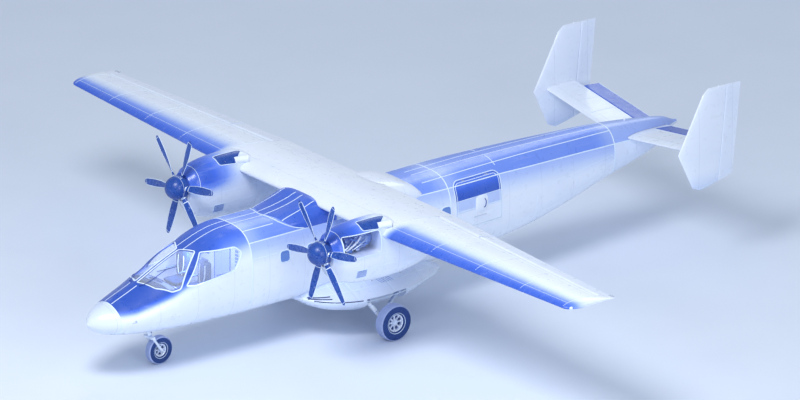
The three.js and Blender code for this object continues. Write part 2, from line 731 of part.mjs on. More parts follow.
function stabiliserSection(side, distance, swell = 0) {
  const x = distance * Math.cos(TILT);
  const z = STABILISER.height + distance * Math.sin(TILT);
  return {
    lead: place(side, x, STABILISER.lead - swell, z),
    trail: place(side, x, STABILISER.trail + swell, z),
    up: new THREE.Vector3(-side * Math.sin(TILT), 0, Math.cos(TILT)),
    ratio: STABILISER.ratio,
    hinge: STABILISER.hinge,
    swell,
  };
}

const leaning = (line, height) => line.station + FIN_LEAN * (height - line.height);

function finSections(side, swell = 0) {
  return FIN.map(([leadStation, leadHeight, trailHeight], index) => {
    const trailStation = leaning(FIN_TRAIL, trailHeight);
    const rise = FIN_LEAN * (trailHeight - leadHeight);
    return {
      lead: place(side, FIN_SIDE, leadStation - swell, leadHeight),
      trail: place(side, FIN_SIDE, trailStation + swell, trailHeight),
      up: new THREE.Vector3(side, 0, 0),
      ratio: FIN_RATIO * (index === 0 || index === FIN.length - 1 ? 0.5 : 1),
      hinge: (leaning(RUDDER_HINGE, leadHeight) - leadStation) / (trailStation - leadStation - rise),
      swell,
    };
  });
}

// Full-chord stabiliser out to each of the given distances from the centreline.
function fullStabiliser(distances, swell = 0) {
  const middle = { ...stabiliserSection(1, 0, swell), up: UP };
  const half = (side) => distances.map((distance) => stabiliserSection(side, distance, swell));
  return wholePanel([...half(-1).reverse(), middle, ...half(1)]);
}

function stabiliser() {
  const reach = FIN_SIDE / Math.cos(TILT);
  const halves = SIDES.map((side) => frontPanel(
    [STABILISER_ROOT - 1, reach].map((distance) => stabiliserSection(side, distance)),
  ));
  const fins = SIDES.map((side) => wholePanel(finSections(side, SLOT_GAP)));
  const whole = joined([fullStabiliser([STABILISER_ROOT]), ...halves]);
  return fins.reduce((solid, fin) => solid.subtract(fin), whole);
}

function elevator(side) {
  const spans = [STABILISER.rootSpan, STABILISER.elevatorSpan];
  return rearPanel(spans.map((distance) => stabiliserSection(side, distance)));
}

// The tail cone is hollow ahead of its solid tip, and the stabiliser passes through it.
function tailCone() {
  const cone = fuselageTube(TAIL_CONE_START + JOINT_GAP, LENGTH, TAIL_SKIN, TAIL_CONE_START - 1, TAIL_CONE_TIP);
  return cone.subtract(fullStabiliser([STABILISER_ROOT, 2 * STABILISER_ROOT], SLOT_GAP));
}

// ---------------------------------------------------------------- assembly

const COLOURS = {
  white: { color: 0xe8f0fd, roughness: 0.35, metalness: 0.1 },
  blue: { color: 0x4a74d8, roughness: 0.35, metalness: 0.1 },
  navy: { color: 0x163a92, roughness: 0.4, metalness: 0.2 },
  metal: { color: 0xc6d4f2, roughness: 0.3, metalness: 0.7 },
  tyre: { color: 0x1c2f63, roughness: 0.85, metalness: 0 },
  fabric: { color: 0x35549c, roughness: 0.9, metalness: 0 },
  glass: { color: 0xbcd4ff, roughness: 0.05, metalness: 0, transparent: true, opacity: 0.35 },
};
const materials = Object.fromEntries(
  Object.entries(COLOURS).map(([name, look]) => [name, new THREE.MeshStandardMaterial(look)]),
);

const airliner = new THREE.Group();

function add(name, solid, material) {
  const { vertProperties, triVerts } = solid.getMesh();
  const geometry = new THREE.BufferGeometry();
  geometry.setAttribute('position', new THREE.BufferAttribute(vertProperties, 3));
  geometry.setIndex(new THREE.BufferAttribute(triVerts, 1));
  geometry.computeVertexNormals();
  const mesh = new THREE.Mesh(geometry, materials[material]);
  mesh.name = name;
  airliner.add(mesh);
}

const windscreens = SIDES.map((side) => windscreenCutter(side));
const sideWindows = SIDES.map((side) => sideWindowCutter(side));
const glazing = joined([...windscreens, ...sideWindows]);
const cockpit = fuselageTube(NOSE_CAP_END + JOINT_GAP, COCKPIT_END, SKIN, NOSE_CAP_END + 60).subtract(glazing);
const tail = fuselageTube(CABIN_END + JOINT_GAP, TAIL_CONE_START, TAIL_SKIN).subtract(doorCutter(DOOR.gap));

add('nose_cap', fuselageBody(0, NOSE_CAP_END, 0, 180), 'white');
add('cockpit_body', cockpit, 'blue');
add('cabin_body', fuselageTube(COCKPIT_END + JOINT_GAP, CABIN_END), 'blue');
add('tail_body', tail, 'blue');
add('tail_cone', tailCone(), 'blue');
add('rear_door', fuselageTube(CABIN_END, 12500, TAIL_SKIN).intersect(doorCutter(0)), 'blue');
add('cockpit_floor', floorSlab(...COCKPIT_FLOOR), 'navy');
add('cabin_floor', floorSlab(...CABIN_FLOOR), 'navy');
add('cockpit_bulkhead', cockpitBulkhead(), 'white');
add('instrument_panel', instrumentPanel(), 'navy');
add('equipment_rack', equipmentRack(), 'metal');
add('wing_fairing', wingFairing(), 'blue');
add('wing_centre', wholePanel([wingSection(-1, WING.breakSpan), wingSection(1, WING.breakSpan)]), 'white');
add('stabiliser', stabiliser(), 'white');
add('nose_leg', noseLeg(), 'metal');
add('nose_fork', noseFork(), 'metal');
add('nose_wheel', wheelHub(NOSE_WHEEL, 1), 'metal');
add('nose_tyre', tyre(NOSE_WHEEL, 1), 'tyre');

SIDES.forEach((side) => {
  const suffix = side === 1 ? 'left' : 'right';
  const finParts = finSections(side);
  const discs = blades(side);
  add(`windscreen_${suffix}`, glassSheet(windscreenCutter(side, GLASS_GAP)), 'glass');
  add(`side_window_${suffix}`, glassSheet(sideWindowCutter(side, GLASS_GAP)), 'glass');
  add(`seat_${suffix}`, seat(side), 'fabric');
  add(`wing_${suffix}`, outerWing(side), 'white');
  add(`flap_${suffix}`, rearPanel(wingSections(side, FLAP_SPAN)), 'white');
  add(`aileron_${suffix}`, rearPanel(wingSections(side, AILERON_SPAN)), 'white');
  add(`nacelle_${suffix}`, nacelle(side), 'white');
  add(`engine_${suffix}`, engine(side), 'metal');
  add(`propeller_${suffix}`, joined([spinner(side), ...discs]), 'navy');
  add(`sponson_${suffix}`, sponson(side), 'white');
  add(`main_leg_${suffix}`, mainLeg(side), 'metal');
  add(`main_wheel_${suffix}`, wheelHub(MAIN_WHEEL, side), 'metal');
  add(`main_tyre_${suffix}`, tyre(MAIN_WHEEL, side), 'tyre');
  add(`elevator_${suffix}`, elevator(side), 'blue');
  add(`fin_${suffix}`, frontPanel(finParts), 'white');
  add(`rudder_${suffix}`, rearPanel(finParts), 'white');
});

export default airliner;
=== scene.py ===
"""High-wing turboprop airliner: fine skins, glazing, cockpit, gear and materials round the CAD frame.

Metres, +X port, -Y forward, +Z up. A station is the distance aft of the nose tip.
"""

import math

import bmesh
import bpy
from mathutils import Matrix, Vector


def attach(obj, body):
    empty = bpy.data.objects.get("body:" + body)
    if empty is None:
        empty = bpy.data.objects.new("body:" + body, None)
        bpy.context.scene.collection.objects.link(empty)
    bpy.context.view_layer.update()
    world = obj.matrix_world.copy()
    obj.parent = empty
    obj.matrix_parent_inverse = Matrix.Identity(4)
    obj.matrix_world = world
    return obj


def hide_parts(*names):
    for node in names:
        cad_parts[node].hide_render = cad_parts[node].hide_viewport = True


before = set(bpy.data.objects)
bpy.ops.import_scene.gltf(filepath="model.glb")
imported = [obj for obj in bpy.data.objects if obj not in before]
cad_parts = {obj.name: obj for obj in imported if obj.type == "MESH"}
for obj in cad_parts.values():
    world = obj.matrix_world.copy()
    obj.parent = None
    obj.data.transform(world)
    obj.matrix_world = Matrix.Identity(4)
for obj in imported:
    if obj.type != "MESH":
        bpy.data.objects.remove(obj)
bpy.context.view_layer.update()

# ---------------------------------------------------------------- driving dimensions

HALF_LENGTH = 9.0
HALF_SPAN = 10.0
SIDES = {"left": 1, "right": -1}

# Fuselage: station, half width, keel, roof, squareness of the upper and lower half.
FUSELAGE = [
    (0.0, 0.030, 1.440, 1.500, 2.0, 2.0),
    (0.06, 0.130, 1.365, 1.590, 2.0, 2.0),
    (0.25, 0.330, 1.230, 1.750, 1.9, 2.1),
    (0.61, 0.590, 1.130, 1.910, 1.7, 2.2),
    (1.4, 0.825, 1.030, 2.220, 1.65, 2.4),
    (2.1, 0.920, 0.985, 2.545, 1.8, 2.6),
    (2.7, 0.965, 0.965, 2.790, 2.1, 2.8),
    (3.55, 0.990, 0.950, 3.080, 2.5, 3.0),
    (4.24, 1.000, 0.950, 3.150, 2.9, 3.2),
    (9.2, 0.990, 0.950, 3.150, 3.0, 3.2),
    (10.3, 0.980, 0.950, 3.175, 3.0, 3.2),
    (11.5, 0.910, 1.000, 3.195, 2.9, 3.2),
    (13.0, 0.790, 1.150, 3.185, 2.8, 3.0),
    (14.3, 0.680, 1.435, 3.155, 2.6, 2.8),
    (15.68, 0.550, 1.800, 3.105, 2.4, 2.4),
    (16.9, 0.380, 2.080, 2.990, 2.2, 2.2),
    (17.6, 0.215, 2.330, 2.880, 2.1, 2.1),
    (18.0, 0.050, 2.620, 2.730, 2.0, 2.0),
]
NOSE_CAP_END = 0.61
COCKPIT_END = 4.24
CABIN_END = 10.3
TAIL_CONE_START = 15.68
SKIN = 0.035
TAIL_SKIN = 0.025
SEAM_GAP = 0.003

# Height of the line where the blue upper panels meet the white sides, by station.
BOUNDARY = [
    (0.0, 1.66), (1.0, 1.74), (2.0, 2.0), (2.7, 2.3), (3.6, 2.75), (4.24, 2.84), (9.6, 2.887), (12.0, 2.87),
    (12.9, 2.835), (13.8, 2.806), (14.8, 2.773), (15.68, 2.737), (16.3, 2.705), (17.1, 2.69), (18.0, 2.69),
]

# Glazing corners: windscreen as (x, station), side window as (station, z).
WINDSCREEN = [(0.05, 1.48), (0.05, 2.71), (0.412, 2.926), (0.805, 2.215), (0.755, 2.0), (0.5, 1.695)]
SIDE_WINDOW = [(2.38, 2.18), (3.02, 2.79), (3.822, 2.832), (3.96, 2.7), (3.74, 2.325), (2.64, 2.16)]
GLASS_THICKNESS = 0.012
DOOR = {"front": 10.48, "rear": 11.9, "sill": 1.8, "head": 2.96, "corner": 0.16, "gap": 0.008}

WING = {"break": 3.3, "root_lead": 6.41, "root_trail": 8.58, "tip_lead": 6.87, "tip_trail": 8.22,
        "root_height": 3.29, "tip_height": 3.27, "root_ratio": 0.15, "tip_ratio": 0.12, "camber": 0.02,
        "hinge": 0.8}
FLAP_SPAN = (3.33, 4.94)
AILERON_SPAN = (4.98, 9.74)
TRAILING_HALF_THICKNESS = 0.004
MOVING_GAP = 0.012

WING_FAIRING = [
    (5.15, 0.300, 2.70, 3.154, 2.3, 2.3), (5.35, 0.590, 2.60, 3.172, 2.5, 2.5),
                (5.6, 0.755, 2.50, 3.202, 2.8, 2.8),
    (5.9, 0.840, 2.40, 3.256, 3.2, 3.2), (6.15, 0.850, 2.40, 3.318, 3.6, 3.6),
                (6.43, 0.850, 2.40, 3.396, 4.0, 4.0),
    (6.6, 0.850, 2.40, 3.396, 4.0, 4.0), (7.5, 0.850, 2.40, 3.390, 4.0, 4.0),
                (8.4, 0.850, 2.40, 3.345, 3.6, 3.6),
    (9.0, 0.850, 2.50, 3.265, 3.2, 3.2),
    (9.4, 0.835, 2.62, 3.130, 2.8, 2.8), (9.7, 0.770, 2.76, 2.960, 2.4, 2.4),
]


def along(station):
    return station - HALF_LENGTH


def smooth_step(low, high, value):
    t = min(max((value - low) / (high - low), 0.0), 1.0)
    return t * t * (3 - 2 * t)


def interpolate(pairs, value):
    """Straight-line value of (key, value) pairs, held level beyond the ends."""
    if value <= pairs[0][0]:
        return pairs[0][1]
    for (a, fa), (b, fb) in zip(pairs, pairs[1:]):
        if value <= b:
            return fa + (fb - fa) * (value - a) / (b - a)
    return pairs[-1][1]


# ---------------------------------------------------------------- camera, light and floor

AZIMUTH, ELEVATION = math.radians(52.5), math.radians(20.4)
LENS, SENSOR = 780, 36
CLIP = (10, 1500)
VIEW_WIDTH = 19.42
LOOK_AT = Vector((0.0, 0.47, 2.53))

# Name, place, disc size, power and colour of each studio light.
LIGHTS = [
    ("key", (10, -20, 30), 14, 7600, (0.97, 0.98, 1.0)),
    ("fill", (34, -8, 12), 18, 3000, (0.93, 0.96, 1.0)),
    ("rim", (-48, 56, 52), 40, 9000, (0.85, 0.92, 1.0)),
]
WORLD_COLOR, WORLD_STRENGTH = (0.80, 0.88, 1.0, 1.0), 0.5
CABIN_LAMP = {"stations": (3.1, 5.6), "height": 2.62, "energy": 42, "color": (0.72, 0.84, 1.0), "size": 0.25}
FLOOR_RADIUS = 320


def make_camera():
    back = Vector((math.sin(AZIMUTH) * math.cos(ELEVATION), -math.cos(AZIMUTH) * math.cos(ELEVATION),
                   math.sin(ELEVATION)))
    data = bpy.data.cameras.new("camera")
    data.lens, data.sensor_width = LENS, SENSOR
    data.clip_start, data.clip_end = CLIP
    camera = bpy.data.objects.new("camera", data)
    bpy.context.scene.collection.objects.link(camera)
    camera.location = LOOK_AT + back * (VIEW_WIDTH * LENS / SENSOR)
    camera.rotation_euler = (-back).to_track_quat("-Z", "Y").to_euler()
    bpy.context.scene.camera = camera


def make_light(name, location, size, energy, color):
    data = bpy.data.lights.new(name, "AREA")
    data.shape, data.size, data.energy, data.color = "DISK", size, energy, color
    light = bpy.data.objects.new(name, data)
    bpy.context.scene.collection.objects.link(light)
    light.location = location
    light.rotation_euler = (-Vector(location)).to_track_quat("-Z", "Y").to_euler()


def make_studio():
    world = bpy.data.worlds.new("studio")
    world.use_nodes = True
    background = world.node_tree.nodes["Background"]
    background.inputs["Color"].default_value = WORLD_COLOR
    background.inputs["Strength"].default_value = WORLD_STRENGTH
    bpy.context.scene.world = world
    bpy.context.scene.view_settings.view_transform = "Standard"
    for light in LIGHTS:
        make_light(*light)
    cabin = bpy.data.lights.new("cockpit_lamp", "POINT")
    cabin.energy, cabin.color, cabin.shadow_soft_size = (CABIN_LAMP[key]
                                                         for key in ("energy", "color", "size"))
    for station in CABIN_LAMP["stations"]:
        lamp = bpy.data.objects.new(f"cabin_lamp_{station}", cabin)
        lamp.location = (0, along(station), CABIN_LAMP["height"])
        bpy.context.scene.collection.objects.link(lamp)
    make_floor()


def make_floor():
    """A wide pale disc, staged so that it isn't part of the object."""
    shape = bmesh.new()
    bmesh.ops.create_circle(shape, cap_ends=True, segments=96, radius=FLOOR_RADIUS)
    mesh = bpy.data.meshes.new("floor")
    shape.to_mesh(mesh)
    shape.free()
    floor = bpy.data.objects.new("floor", mesh)
    bpy.context.scene.collection.objects.link(floor)
    graph = Graph("floor", roughness=0.85)
    tone = graph.noise(0.35, 3)
    graph.color(graph.mix(tone, (0.70, 0.77, 0.90), (0.76, 0.83, 0.95)))
    graph.bump(graph.noise(14, 4), 0.02, 0.01)
    mesh.materials.append(graph.material)


# ---------------------------------------------------------------- material graphs


class Graph:
    """A procedural material; its helpers return sockets that other helpers take."""

    def __init__(self, name, roughness=0.4, metallic=0.0):
        self.material = bpy.data.materials.new(name)
        self.material.use_nodes = True
        self.nodes = self.material.node_tree.nodes
        self.links = self.material.node_tree.links
        self.shader = self.nodes["Principled BSDF"]
        self.shader.inputs["Roughness"].default_value = roughness
        self.shader.inputs["Metallic"].default_value = metallic
        self.position = self.nodes.new("ShaderNodeTexCoord").outputs["Object"]

    def put(self, socket, value):
        if isinstance(value, bpy.types.NodeSocket):
            self.links.new(value, socket)
        elif socket.type == "RGBA":
            socket.default_value = (*value[:3], 1.0)
        else:
            socket.default_value = value

    def noise(self, scale, detail=3, roughness=0.55, position=None):
        node = self.nodes.new("ShaderNodeTexNoise")
        self.put(node.inputs["Vector"], position or self.position)
        node.inputs["Scale"].default_value = scale
        node.inputs["Detail"].default_value = detail
        node.inputs["Roughness"].default_value = roughness
        return node.outputs["Fac"]

    def stretched(self, scale):
        node = self.nodes.new("ShaderNodeMapping")
        self.put(node.inputs["Vector"], self.position)
        node.inputs["Scale"].default_value = scale
        return node.outputs["Vector"]

    def axis(self, name):
        node = self.nodes.new("ShaderNodeSeparateXYZ")
        self.put(node.inputs["Vector"], self.position)
        return node.outputs[name]

    def math(self, operation, a, b=0.0, c=0.0):
        node = self.nodes.new("ShaderNodeMath")
        node.operation = operation
        for socket, value in zip(node.inputs, (a, b, c)):
            self.put(socket, value)
        return node.outputs["Value"]

    def span(self, value, low, high, to_low=0.0, to_high=1.0):
        node = self.nodes.new("ShaderNodeMapRange")
        node.interpolation_type = "SMOOTHSTEP"
        for name, item in (("Value", value), ("From Min", low), ("From Max", high),
                           ("To Min", to_low), ("To Max", to_high)):
            self.put(node.inputs[name], item)
        return node.outputs["Result"]

    def mix(self, factor, a, b):
        node = self.nodes.new("ShaderNodeMix")
        node.data_type = "RGBA"
        self.put(node.inputs["Factor"], factor)
        self.put(node.inputs["A"] if node.inputs["A"].type == "RGBA" else node.inputs[6], a)
        self.put(node.inputs["B"] if node.inputs["B"].type == "RGBA" else node.inputs[7], b)
        return node.outputs[2]

    def ramp(self, factor, stops):
        node = self.nodes.new("ShaderNodeValToRGB")
        self.put(node.inputs["Fac"], factor)
        elements = node.color_ramp.elements
        while len(elements) < len(stops):
            elements.new(0.5)
        for element, (place, color) in zip(elements, stops):
            element.position = place
            element.color = (*color, 1.0)
        return node.outputs["Color"]

    def attribute(self, name):
        node = self.nodes.new("ShaderNodeAttribute")
        node.attribute_name = name
        return node.outputs["Fac"]

    def grooves(self, axis, pitch, width, offset=0.0):
        """1 in narrow bands across an axis, pitch apart."""
        wrapped = self.math("PINGPONG", self.math("ADD", self.axis(axis), offset), pitch / 2)
        return self.span(wrapped, width / 2, width, 1.0, 0.0)

    def color(self, value):
        self.put(self.shader.inputs["Base Color"], value)

    def rough(self, value):
        self.put(self.shader.inputs["Roughness"], value)

    def set(self, **values):
        for name, value in values.items():
            self.shader.inputs[name.replace("_", " ")].default_value = value

    def bump(self, height, distance, strength=0.5):
        node = self.nodes.new("ShaderNodeBump")
        node.inputs["Distance"].default_value = distance
        node.inputs["Strength"].default_value = strength
        self.put(node.inputs["Height"], height)
        previous = self.shader.inputs["Normal"].links
        if previous:
            self.put(node.inputs["Normal"], previous[0].from_socket)
        self.links.new(node.outputs["Normal"], self.shader.inputs["Normal"])


WHITE = (0.84, 0.90, 1.0)
PAINT_STOPS = [
    (0.0, WHITE),
    (0.25, (0.56, 0.68, 0.96)),
    (0.5, (0.19, 0.32, 0.88)),
    (0.75, (0.045, 0.14, 0.72)),
    (1.0, (0.006, 0.055, 0.36)),
]
SHARP_EDGE = 0.004
OUTER_WING_START = 3.4


def paint_finish(graph, tint):
    """Gloss aircraft paint: cloudy tint, faint streaks, orange peel and panel joints."""
    cloud = graph.noise(0.9, 4)
    streaks = graph.noise(1.0, 3, position=graph.stretched((9.0, 0.7, 9.0)))
    tint = graph.mix(graph.span(cloud, 0.42, 0.75, 0.0, 0.10), tint, (0.36, 0.48, 0.84))
    tint = graph.mix(graph.span(streaks, 0.55, 0.85, 0.0, 0.10), tint, (0.95, 0.97, 1.0))
    outboard = graph.math("GREATER_THAN", graph.math("ABSOLUTE", graph.axis("X")), OUTER_WING_START)
    ribs = graph.math("MULTIPLY", graph.grooves("X", 1.22, 0.004, 0.61), outboard)
    frames = graph.math("MULTIPLY", graph.grooves("Y", 1.06, 0.004), graph.math("SUBTRACT", 1.0, outboard))
    joints = graph.math("MAXIMUM", ribs, frames)
    tint = graph.mix(graph.math("MULTIPLY", joints, 0.35), tint, (0.10, 0.17, 0.40))
    graph.color(tint)
    graph.rough(graph.span(graph.noise(6.0, 4), 0.3, 0.7, 0.26, 0.40))
    graph.set(Coat_Weight=0.35, Coat_Roughness=0.12, Specular_IOR_Level=0.45)
    graph.bump(graph.noise(55, 2), 0.0012, 0.25)
    graph.bump(graph.math("SUBTRACT", 1.0, joints), 0.003, 0.6)


def paint(name):
    """Paint whose blue follows the mesh's tone value."""
    graph = Graph(name)
    paint_finish(graph, graph.ramp(graph.attribute("tone"), PAINT_STOPS))
    return graph.material


def two_tone_paint(name):
    """Fuselage paint: one tone above a crisp line and another below it; the tones also carry painted light
    and shade, blue fading to white down the sides.
    """
    graph = Graph(name)
    upper = graph.ramp(graph.attribute("tone"), PAINT_STOPS)
    lower = graph.ramp(graph.attribute("tone_low"), PAINT_STOPS)
    edge = graph.span(graph.attribute("above"), -SHARP_EDGE, SHARP_EDGE)
    paint_finish(graph, graph.mix(edge, lower, upper))
    return graph.material


def plain_paint(name, light, dark, roughness=0.4, metallic=0.0, grain=8.0):
    """A painted or plated small part: two close tints in a noise, with worn lighter patches."""
    graph = Graph(name, roughness, metallic)
    worn = graph.span(graph.noise(grain * 3, 5), 0.62, 0.72)
    base = graph.mix(graph.noise(grain, 4), dark, light)
    graph.color(graph.mix(graph.math("MULTIPLY", worn, 0.35), base, (0.75, 0.83, 0.97)))
    graph.rough(graph.span(graph.noise(grain * 2, 3), 0.3, 0.7, roughness * 0.8, roughness * 1.25))
    graph.bump(graph.noise(grain * 12, 3), 0.0008, 0.35)
    return graph.material


def rubber(name, light, dark):
    graph = Graph(name, 0.8)
    graph.color(graph.mix(graph.noise(18, 5), dark, light))
    graph.rough(graph.span(graph.noise(30, 3), 0.3, 0.7, 0.65, 0.9))
    graph.bump(graph.noise(160, 4), 0.001, 0.5)
    return graph.material


def fabric(name, light, dark):
    """Woven upholstery: two crossed fine waves with a soft sheen."""
    graph = Graph(name, 0.9)
    weave = []
    for axis in ("X", "Z"):
        node = graph.nodes.new("ShaderNodeTexWave")
        node.wave_type, node.bands_direction = "BANDS", axis
        graph.put(node.inputs["Vector"], graph.position)
        node.inputs["Scale"].default_value = 130
        node.inputs["Distortion"].default_value = 0.6
        weave.append(node.outputs["Fac"])
    threads = graph.math("MAXIMUM", *weave)
    shade = graph.math("ADD", graph.math("MULTIPLY", threads, 0.5),
                       graph.math("MULTIPLY", graph.noise(7, 4), 0.5))
    graph.color(graph.mix(shade, dark, light))
    graph.set(Sheen_Weight=0.08, Sheen_Roughness=0.5)
    graph.bump(threads, 0.0015, 0.6)
    return graph.material


def glass(name, tint, alpha):
    graph = Graph(name, 0.04)
    smear = graph.noise(5, 4)
    graph.color(graph.mix(smear, tint, tuple(min(1.0, c * 1.15) for c in tint)))
    graph.rough(graph.span(smear, 0.35, 0.7, 0.02, 0.12))
    graph.set(Alpha=alpha, Specular_IOR_Level=0.8, Coat_Weight=0.6, Coat_Roughness=0.03, IOR=1.5)
    return graph.material


def brushed(name, light, dark, roughness=0.3):
    graph = Graph(name, roughness, 0.85)
    lines = graph.noise(40, 4, position=graph.stretched((1.0, 14.0, 1.0)))
    graph.color(graph.mix(lines, dark, light))
    graph.rough(graph.span(lines, 0.3, 0.7, roughness * 0.7, roughness * 1.3))
    graph.bump(lines, 0.0006, 0.4)
    return graph.material


make_camera()
make_studio()

SKIN_PAINT = two_tone_paint("fuselage_paint")
PAINT = paint("panel_paint")
SEAM = plain_paint("seam_sealant", (0.80, 0.91, 1.0), (0.68, 0.82, 1.0), 0.45)
NAVY = plain_paint("navy_enamel", (0.02, 0.09, 0.42), (0.008, 0.045, 0.26), 0.3)
# Dark enamel for dark parts, also used as painted shade in the exhaust mouth and behind the wheel spokes.
DARK = plain_paint("dark_parts_and_recess_shade", (0.02, 0.05, 0.20), (0.01, 0.03, 0.12), 0.6)
MID_BLUE = plain_paint("mid_blue_enamel", (0.16, 0.30, 0.72), (0.10, 0.21, 0.60), 0.4)
LINING = plain_paint("cabin_lining", (0.80, 0.87, 0.99), (0.68, 0.77, 0.95), 0.7, grain=5)
STEEL = brushed("gear_steel", (0.75, 0.83, 0.97), (0.50, 0.60, 0.82))
CHROME = brushed("polished_rod", (0.92, 0.95, 1.0), (0.75, 0.82, 0.95), 0.12)
ALLOY = plain_paint("wheel_alloy", (0.86, 0.91, 1.0), (0.66, 0.75, 0.95), 0.3, 0.4, grain=14)
TREAD = rubber("tyre_tread", (0.50, 0.58, 0.86), (0.36, 0.44, 0.74))
SIDEWALL = rubber("tyre_sidewall", (0.022, 0.07, 0.28), (0.010, 0.035, 0.16))
CLOTH = fabric("seat_cloth", (0.05, 0.13, 0.42), (0.015, 0.05, 0.22))
PANE = glass("cockpit_glass", (0.80, 0.90, 1.0), 0.14)
CABIN_PANE = glass("cabin_glass", (0.10, 0.24, 0.66), 0.85)
CASTING = plain_paint("engine_casting", (0.36, 0.47, 0.78), (0.16, 0.26, 0.58), 0.45, 0.5, grain=20)
PLAIN_WHITE = plain_paint("white_enamel", (0.84, 0.90, 1.0), (0.74, 0.82, 0.98), 0.35, grain=4)
PANEL_GREY = plain_paint("panel_plastic", (0.30, 0.42, 0.78), (0.20, 0.32, 0.68), 0.6)
BLADE_PAINT = plain_paint("blade_enamel", (0.022, 0.10, 0.46), (0.008, 0.05, 0.30), 0.28, grain=5)
SCREEN = plain_paint("screen_glass", (0.010, 0.03, 0.14), (0.005, 0.018, 0.09), 0.12)
MAT = fabric("floor_mat", (0.12, 0.20, 0.46), (0.06, 0.12, 0.34))
LAMP_CLEAR = plain_paint("lamp_clear", (0.88, 0.93, 1.0), (0.74, 0.84, 1.0), 0.12)

# ---------------------------------------------------------------- mesh helpers


CREASE = 32  # degrees beyond which an edge is drawn sharp


def make_object(name, vertices, faces, material):
    """A smooth-shaded mesh that rides on the airframe."""
    mesh = bpy.data.meshes.new(name)
    mesh.from_pydata([tuple(v) for v in vertices], [], faces)
    mesh.materials.append(material)
    fix_normals(mesh)
    shade(mesh, CREASE)
    return place_object(name, mesh, "airframe")


def place_object(name, mesh, body):
    item = bpy.data.objects.new(name, mesh)
    bpy.context.scene.collection.objects.link(item)
    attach(item, body)
    return item


def fix_normals(mesh):
    shape = bmesh.new()
    shape.from_mesh(mesh)
    bmesh.ops.recalc_face_normals(shape, faces=shape.faces)
    shape.to_mesh(mesh)
    shape.free()


def shade(mesh, crease):
    mesh.polygons.foreach_set("use_smooth", [True] * len(mesh.polygons))
    mesh.set_sharp_from_angle(angle=math.radians(crease))


def grid_faces(rows, count, closed=True, start=0):
    """Quads between successive rings of equally many points."""
    faces = []
    for row in range(rows - 1):
        for i in range(count if closed else count - 1):
            a, b = start + row * count + i, start + row * count + (i + 1) % count
            faces.append((a, b, b + count, a + count))
    return faces


def end_caps(rows, count):
    """One flat face at each end of a stack of rings."""
    return [tuple(range(count)), tuple(range((rows - 1) * count, rows * count))[::-1]]


def closing_faces(rows, count):
    """Quads from the last ring back to the first."""
    last = (rows - 1) * count
    return [(last + i, last + (i + 1) % count, (i + 1) % count, i) for i in range(count)]


def signed_power(value, power):
    return math.copysign(abs(value) ** power, value)


class Builder:
    """Gathers many closed forms into one mesh, each with its own material."""

    def __init__(self):
        self.vertices, self.faces, self.slots, self.materials = [], [], [], []

    def add(self, vertices, faces, material):
        if material not in self.materials:
            self.materials.append(material)
        start = len(self.vertices)
        self.vertices.extend(tuple(v) for v in vertices)
        self.faces.extend(tuple(start + i for i in face) for face in faces)
        self.slots.extend([self.materials.index(material)] * len(faces))

    def loft(self, rings, material, closed_ends=True):
        count = len(rings[0])
        faces = grid_faces(len(rings), count)
        if closed_ends:
            faces += end_caps(len(rings), count)
        self.add([p for ring in rings for p in ring], faces, material)

    def lathe(self, profile, origin, axis, material, segments=48):
        """A solid of revolution from (distance along the axis, radius) pairs."""
        axis = Vector(axis).normalized()
        side = axis.orthogonal().normalized()
        other = axis.cross(side)
        rings = []
        for distance, radius in profile:
            ring = []
            for i in range(segments):
                angle = 2 * math.pi * i / segments
                spoke = side * math.cos(angle) + other * math.sin(angle)
                ring.append(Vector(origin) + axis * distance + spoke * max(radius, 0.0002))
            rings.append(ring)
        self.loft(rings, material, closed_ends=profile[0] != profile[-1])

    def rod(self, start, end, radius, material, end_radius=None, sides=20):
        start, end = Vector(start), Vector(end)
        length = (end - start).length
        tip = radius if end_radius is None else end_radius
        chamfer = min(radius, tip, length / 2) * 0.2
        profile = [(0, radius - chamfer), (chamfer, radius), (length - chamfer, tip),
                   (length, tip - chamfer)]
        self.lathe(profile, start, end - start, material, sides)

    def tube(self, points, radius, material, sides=10):
        """A round tube through points, as a smooth curve."""
        path = smooth_path([Vector(p) for p in points])
        self.loft(tube_rings(path, radius, sides), material)

    def box(self, low, high, material, bevel=0.01, turn=None, pivot=(0, 0, 0)):
        """A block with bevelled edges, turned by a matrix about a pivot."""
        shape = bmesh.new()
        bmesh.ops.create_cube(shape, size=1.0)
        low, high = Vector(low), Vector(high)
        size = high - low
        for v in shape.verts:
            v.co = Vector(((v.co.x + 0.5) * size.x, (v.co.y + 0.5) * size.y, (v.co.z + 0.5) * size.z)) + low
        width = min(bevel, min(size) * 0.45)
        bmesh.ops.bevel(shape, geom=shape.edges[:], offset=width, segments=3, profile=0.6, affect="EDGES")
        if turn:
            bmesh.ops.rotate(shape, cent=pivot, matrix=turn, verts=shape.verts[:])
        shape.verts.index_update()
        faces = [tuple(v.index for v in face.verts) for face in shape.faces]
        self.add([v.co.copy() for v in shape.verts], faces, material)
        shape.free()

    def build(self, name, body="airframe", slot=None, crease=CREASE):
        mesh = bpy.data.meshes.new(name)
        mesh.from_pydata(self.vertices, [], self.faces)
        for material in self.materials:
            mesh.materials.append(material)
        mesh.polygons.foreach_set("material_index", self.slots)
        fix_normals(mesh)
        shade(mesh, crease)
        return place_object(name, mesh, body)


def smooth_path(points, steps=6):
    """Catmull-Rom points through a few given ones."""
    if len(points) < 3:
        return points
    ends = [points[0] * 2 - points[1], *points, points[-1] * 2 - points[-2]]
    path = []
    for a, b, c, d in zip(ends, ends[1:], ends[2:], ends[3:]):
        for i in range(steps):
            t = i / steps
            path.append(0.5 * ((2 * b) + (c - a) * t + (2 * a - 5 * b + 4 * c - d) * t ** 2
                               + (3 * b - a - 3 * c + d) * t ** 3))
    return [*path, points[-1]]


